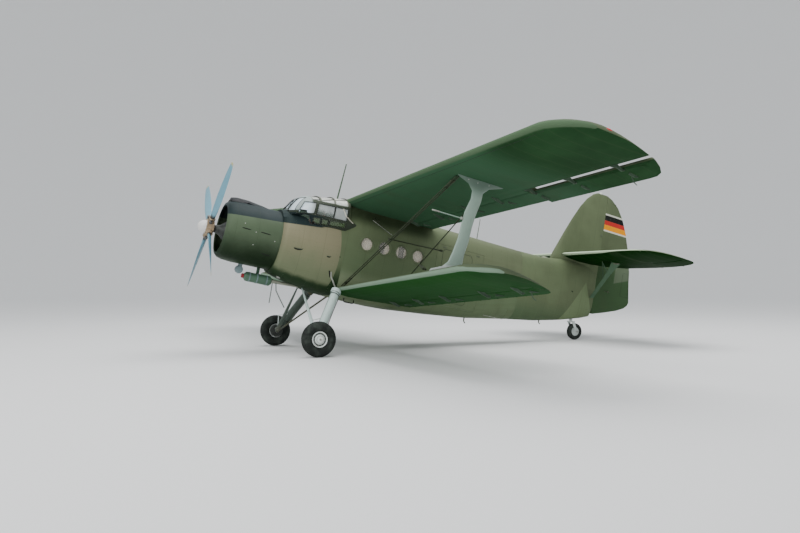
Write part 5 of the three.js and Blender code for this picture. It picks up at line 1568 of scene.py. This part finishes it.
for side_name, side in SIDES:
    smooth_skin(f"main_leg_{side_name}", leg_enamel, 40)
    low, step, top = (Vector((side * x, s, h)) for x, s, h in OLEO)
    way = (top - step).normalized()
    for along, radius, half in ((0.012, 0.1075, 0.010), (0.90, 0.1085, 0.012), (0.955, 0.1085, 0.007)):
        band = [(radius - 0.006, -half), (radius, -half), (radius, half), (radius - 0.006, half)]
        rings.turn(band, step + way * along, way, 40, True)
    forward = way * ALONG.dot(way) - ALONG
    forward.normalize()
    knee = step + way * 0.02 + forward * 0.25
    for start in (step + way * 0.16 + forward * 0.095, low + way * 0.02 + forward * 0.055):
        for lean in (-0.03, 0.03):
            shift = Vector((lean * side, 0, 0))
            link = [start + shift, start.lerp(knee, 0.5) + shift * 0.7, knee + shift * 0.3]
            links.tube(link, [0.018, 0.013, 0.012], 8, 0.6, (1, 0, 0))
        links.tube([start + Vector((-0.045, 0, 0)), start + Vector((0.045, 0, 0))], 0.016, 10)
    links.tube([knee + Vector((-0.03, 0, 0)), knee + Vector((0.03, 0, 0))], 0.014, 10)
    pipe = [low - forward * 0.08 + way * 0.02]
    pipe += [step - forward * back + way * along
             for back, along in ((0.125, 0), (0.115, 0.3), (0.115, 0.62), (0.12, 0.86))]
    rings.tube(pipe, 0.009, 8)
    rings.turn(BRAKE_PLATE, (side * 1.572, 0, 0), (side, 0, 0), 48, True)
    for angle in turns(6):
        spot = Vector((side * 1.560, 0.10 * math.cos(angle), 0.10 * math.sin(angle)))
        rings.turn([(0, -0.006), (0.012, -0.006), (0.012, 0.004), (0, 0.004)], spot, (side, 0, 0), 6)
rings.done("oleo_rings_and_brake_plates", coat("ring_steel", (0.045, 0.05, 0.045), 0.4, 0.5), slot="steel")
links.done("torque_links", gear_white, slot="pale_blue_paint")

# The main wheels are cast drums in white enamel with a domed hub cap, carrying fat smooth-shouldered tyres.
# A ring of bolts holds the two halves of each drum together, and the tread is worn to shallow grooves.
drum = Shader("rim_enamel", (0.80, 0.84, 0.81), 0.35)
_, y, z = drum.parts(drum.object)
out = drum.length(y - axle_y, z - axle_z)
spots = drum.noise(8.0, 5.0)
colour = drum.tint(spots, (0.68, 0.73, 0.70), (0.86, 0.90, 0.87))
colour = drum.tint(out.inside(0.1135, 0.1505, 0.002), colour, (0.085, 0.10, 0.09))
colour = drum.tint(spots.ramp(0.55, 0.7), colour, (0.22, 0.20, 0.15), 0.3)
rim_enamel = drum.finish(colour, spots.scaled(0.25, 0.25), spots, 0.1, 0.001)
WHEEL_X, GROOVES = 1.727, (-0.048, -0.016, 0.016, 0.048)
for side_name, side in SIDES:
    body, outward, middle = f"main_wheel_{side_name}", Vector((side, 0, 0)), (side * WHEEL_X, 0, 0)
    smooth_skin(f"main_rim_{side_name}", rim_enamel, 40)
    tyre(f"main_tyre_{side_name}_worn", f"main_tyre_{side_name}", 0.400, 0.260, 0.178, GROOVES, body)
    bolts = [(Vector((side * (WHEEL_X + 0.0610), 0.133 * math.cos(a), 0.133 * math.sin(a))), outward)
             for a in turns(12)]
    studs(f"rim_bolts_{side_name}", bolts, pale_metal, 0.0085, 0.012, 0.85, 6, body, "steel")
    cap = Form()
    cap.turn([(0, 0.1235), (0.026, 0.123), (0.024, 0.134), (0.012, 0.138), (0, 0.138)], middle, outward, 24)
    cap.turn([(0.079, 0.1105), (0.086, 0.108), (0.086, 0.116), (0.079, 0.118)], middle, outward, 40, True)
    valve = Vector((side * (WHEEL_X + 0.066), 0.0, 0.142))
    cap.tube([valve, valve + Vector((side * 0.035, 0, -0.012))], [0.005, 0.0045], 8)
    cap.done(f"hub_cap_{side_name}", pale_metal, body, "steel")

# The stage is a pale bowl: a flat floor that curves up far behind the aeroplane, with soft light from above.
# It isn't part of the aeroplane.
FLOOR_REACH, WALL_REACH, WALL_TOP = 55.0, 95.0, 45.0
profile = [(0.0, 0.0), (20.0, 0.0), (FLOOR_REACH, 0.0)]
for k in range(1, 13):
    angle = math.pi / 2 * k / 12
    profile.append((FLOOR_REACH + (WALL_REACH - FLOOR_REACH) * math.sin(angle),
                    WALL_TOP * (1 - math.cos(angle))))
points = [(radius * math.cos(a), radius * math.sin(a), height)
          for radius, height in profile for a in turns(96)]
faces = [(96 * k + i, 96 * k + (i + 1) % 96, 96 * (k + 1) + (i + 1) % 96, 96 * (k + 1) + i)
         for k in range(len(profile) - 1) for i in range(96)]
floor_mesh = bpy.data.meshes.new("floor")
floor_mesh.from_pydata(points, [], faces)
rounded(floor_mesh)
floor_mesh.materials.append(Shader("floor_surface", (0.74, 0.74, 0.735), 0.9).material)
floor = put("floor", floor_mesh)
world = bpy.data.worlds.new("studio")
bpy.context.scene.world = world
world.use_nodes = True
world.node_tree.nodes["Background"].inputs[0].default_value = (0.84, 0.87, 0.90, 1)
world.node_tree.nodes["Background"].inputs[1].default_value = 1.2
for name, at, aim, size, power in (
    ("key_light", (14, -16, 16), (0, 0, 1.5), 12, 2300),
    ("top_light", (0, 2, 20), (0, 0, 0), 16, 3600),
):
    lamp = put(name, bpy.data.lights.new(name, "AREA"))
    lamp.data.size = size
    lamp.data.energy = power
    lamp.location = at
    lamp.rotation_euler = (Vector(aim) - Vector(at)).to_track_quat("-Z", "Y").to_euler()
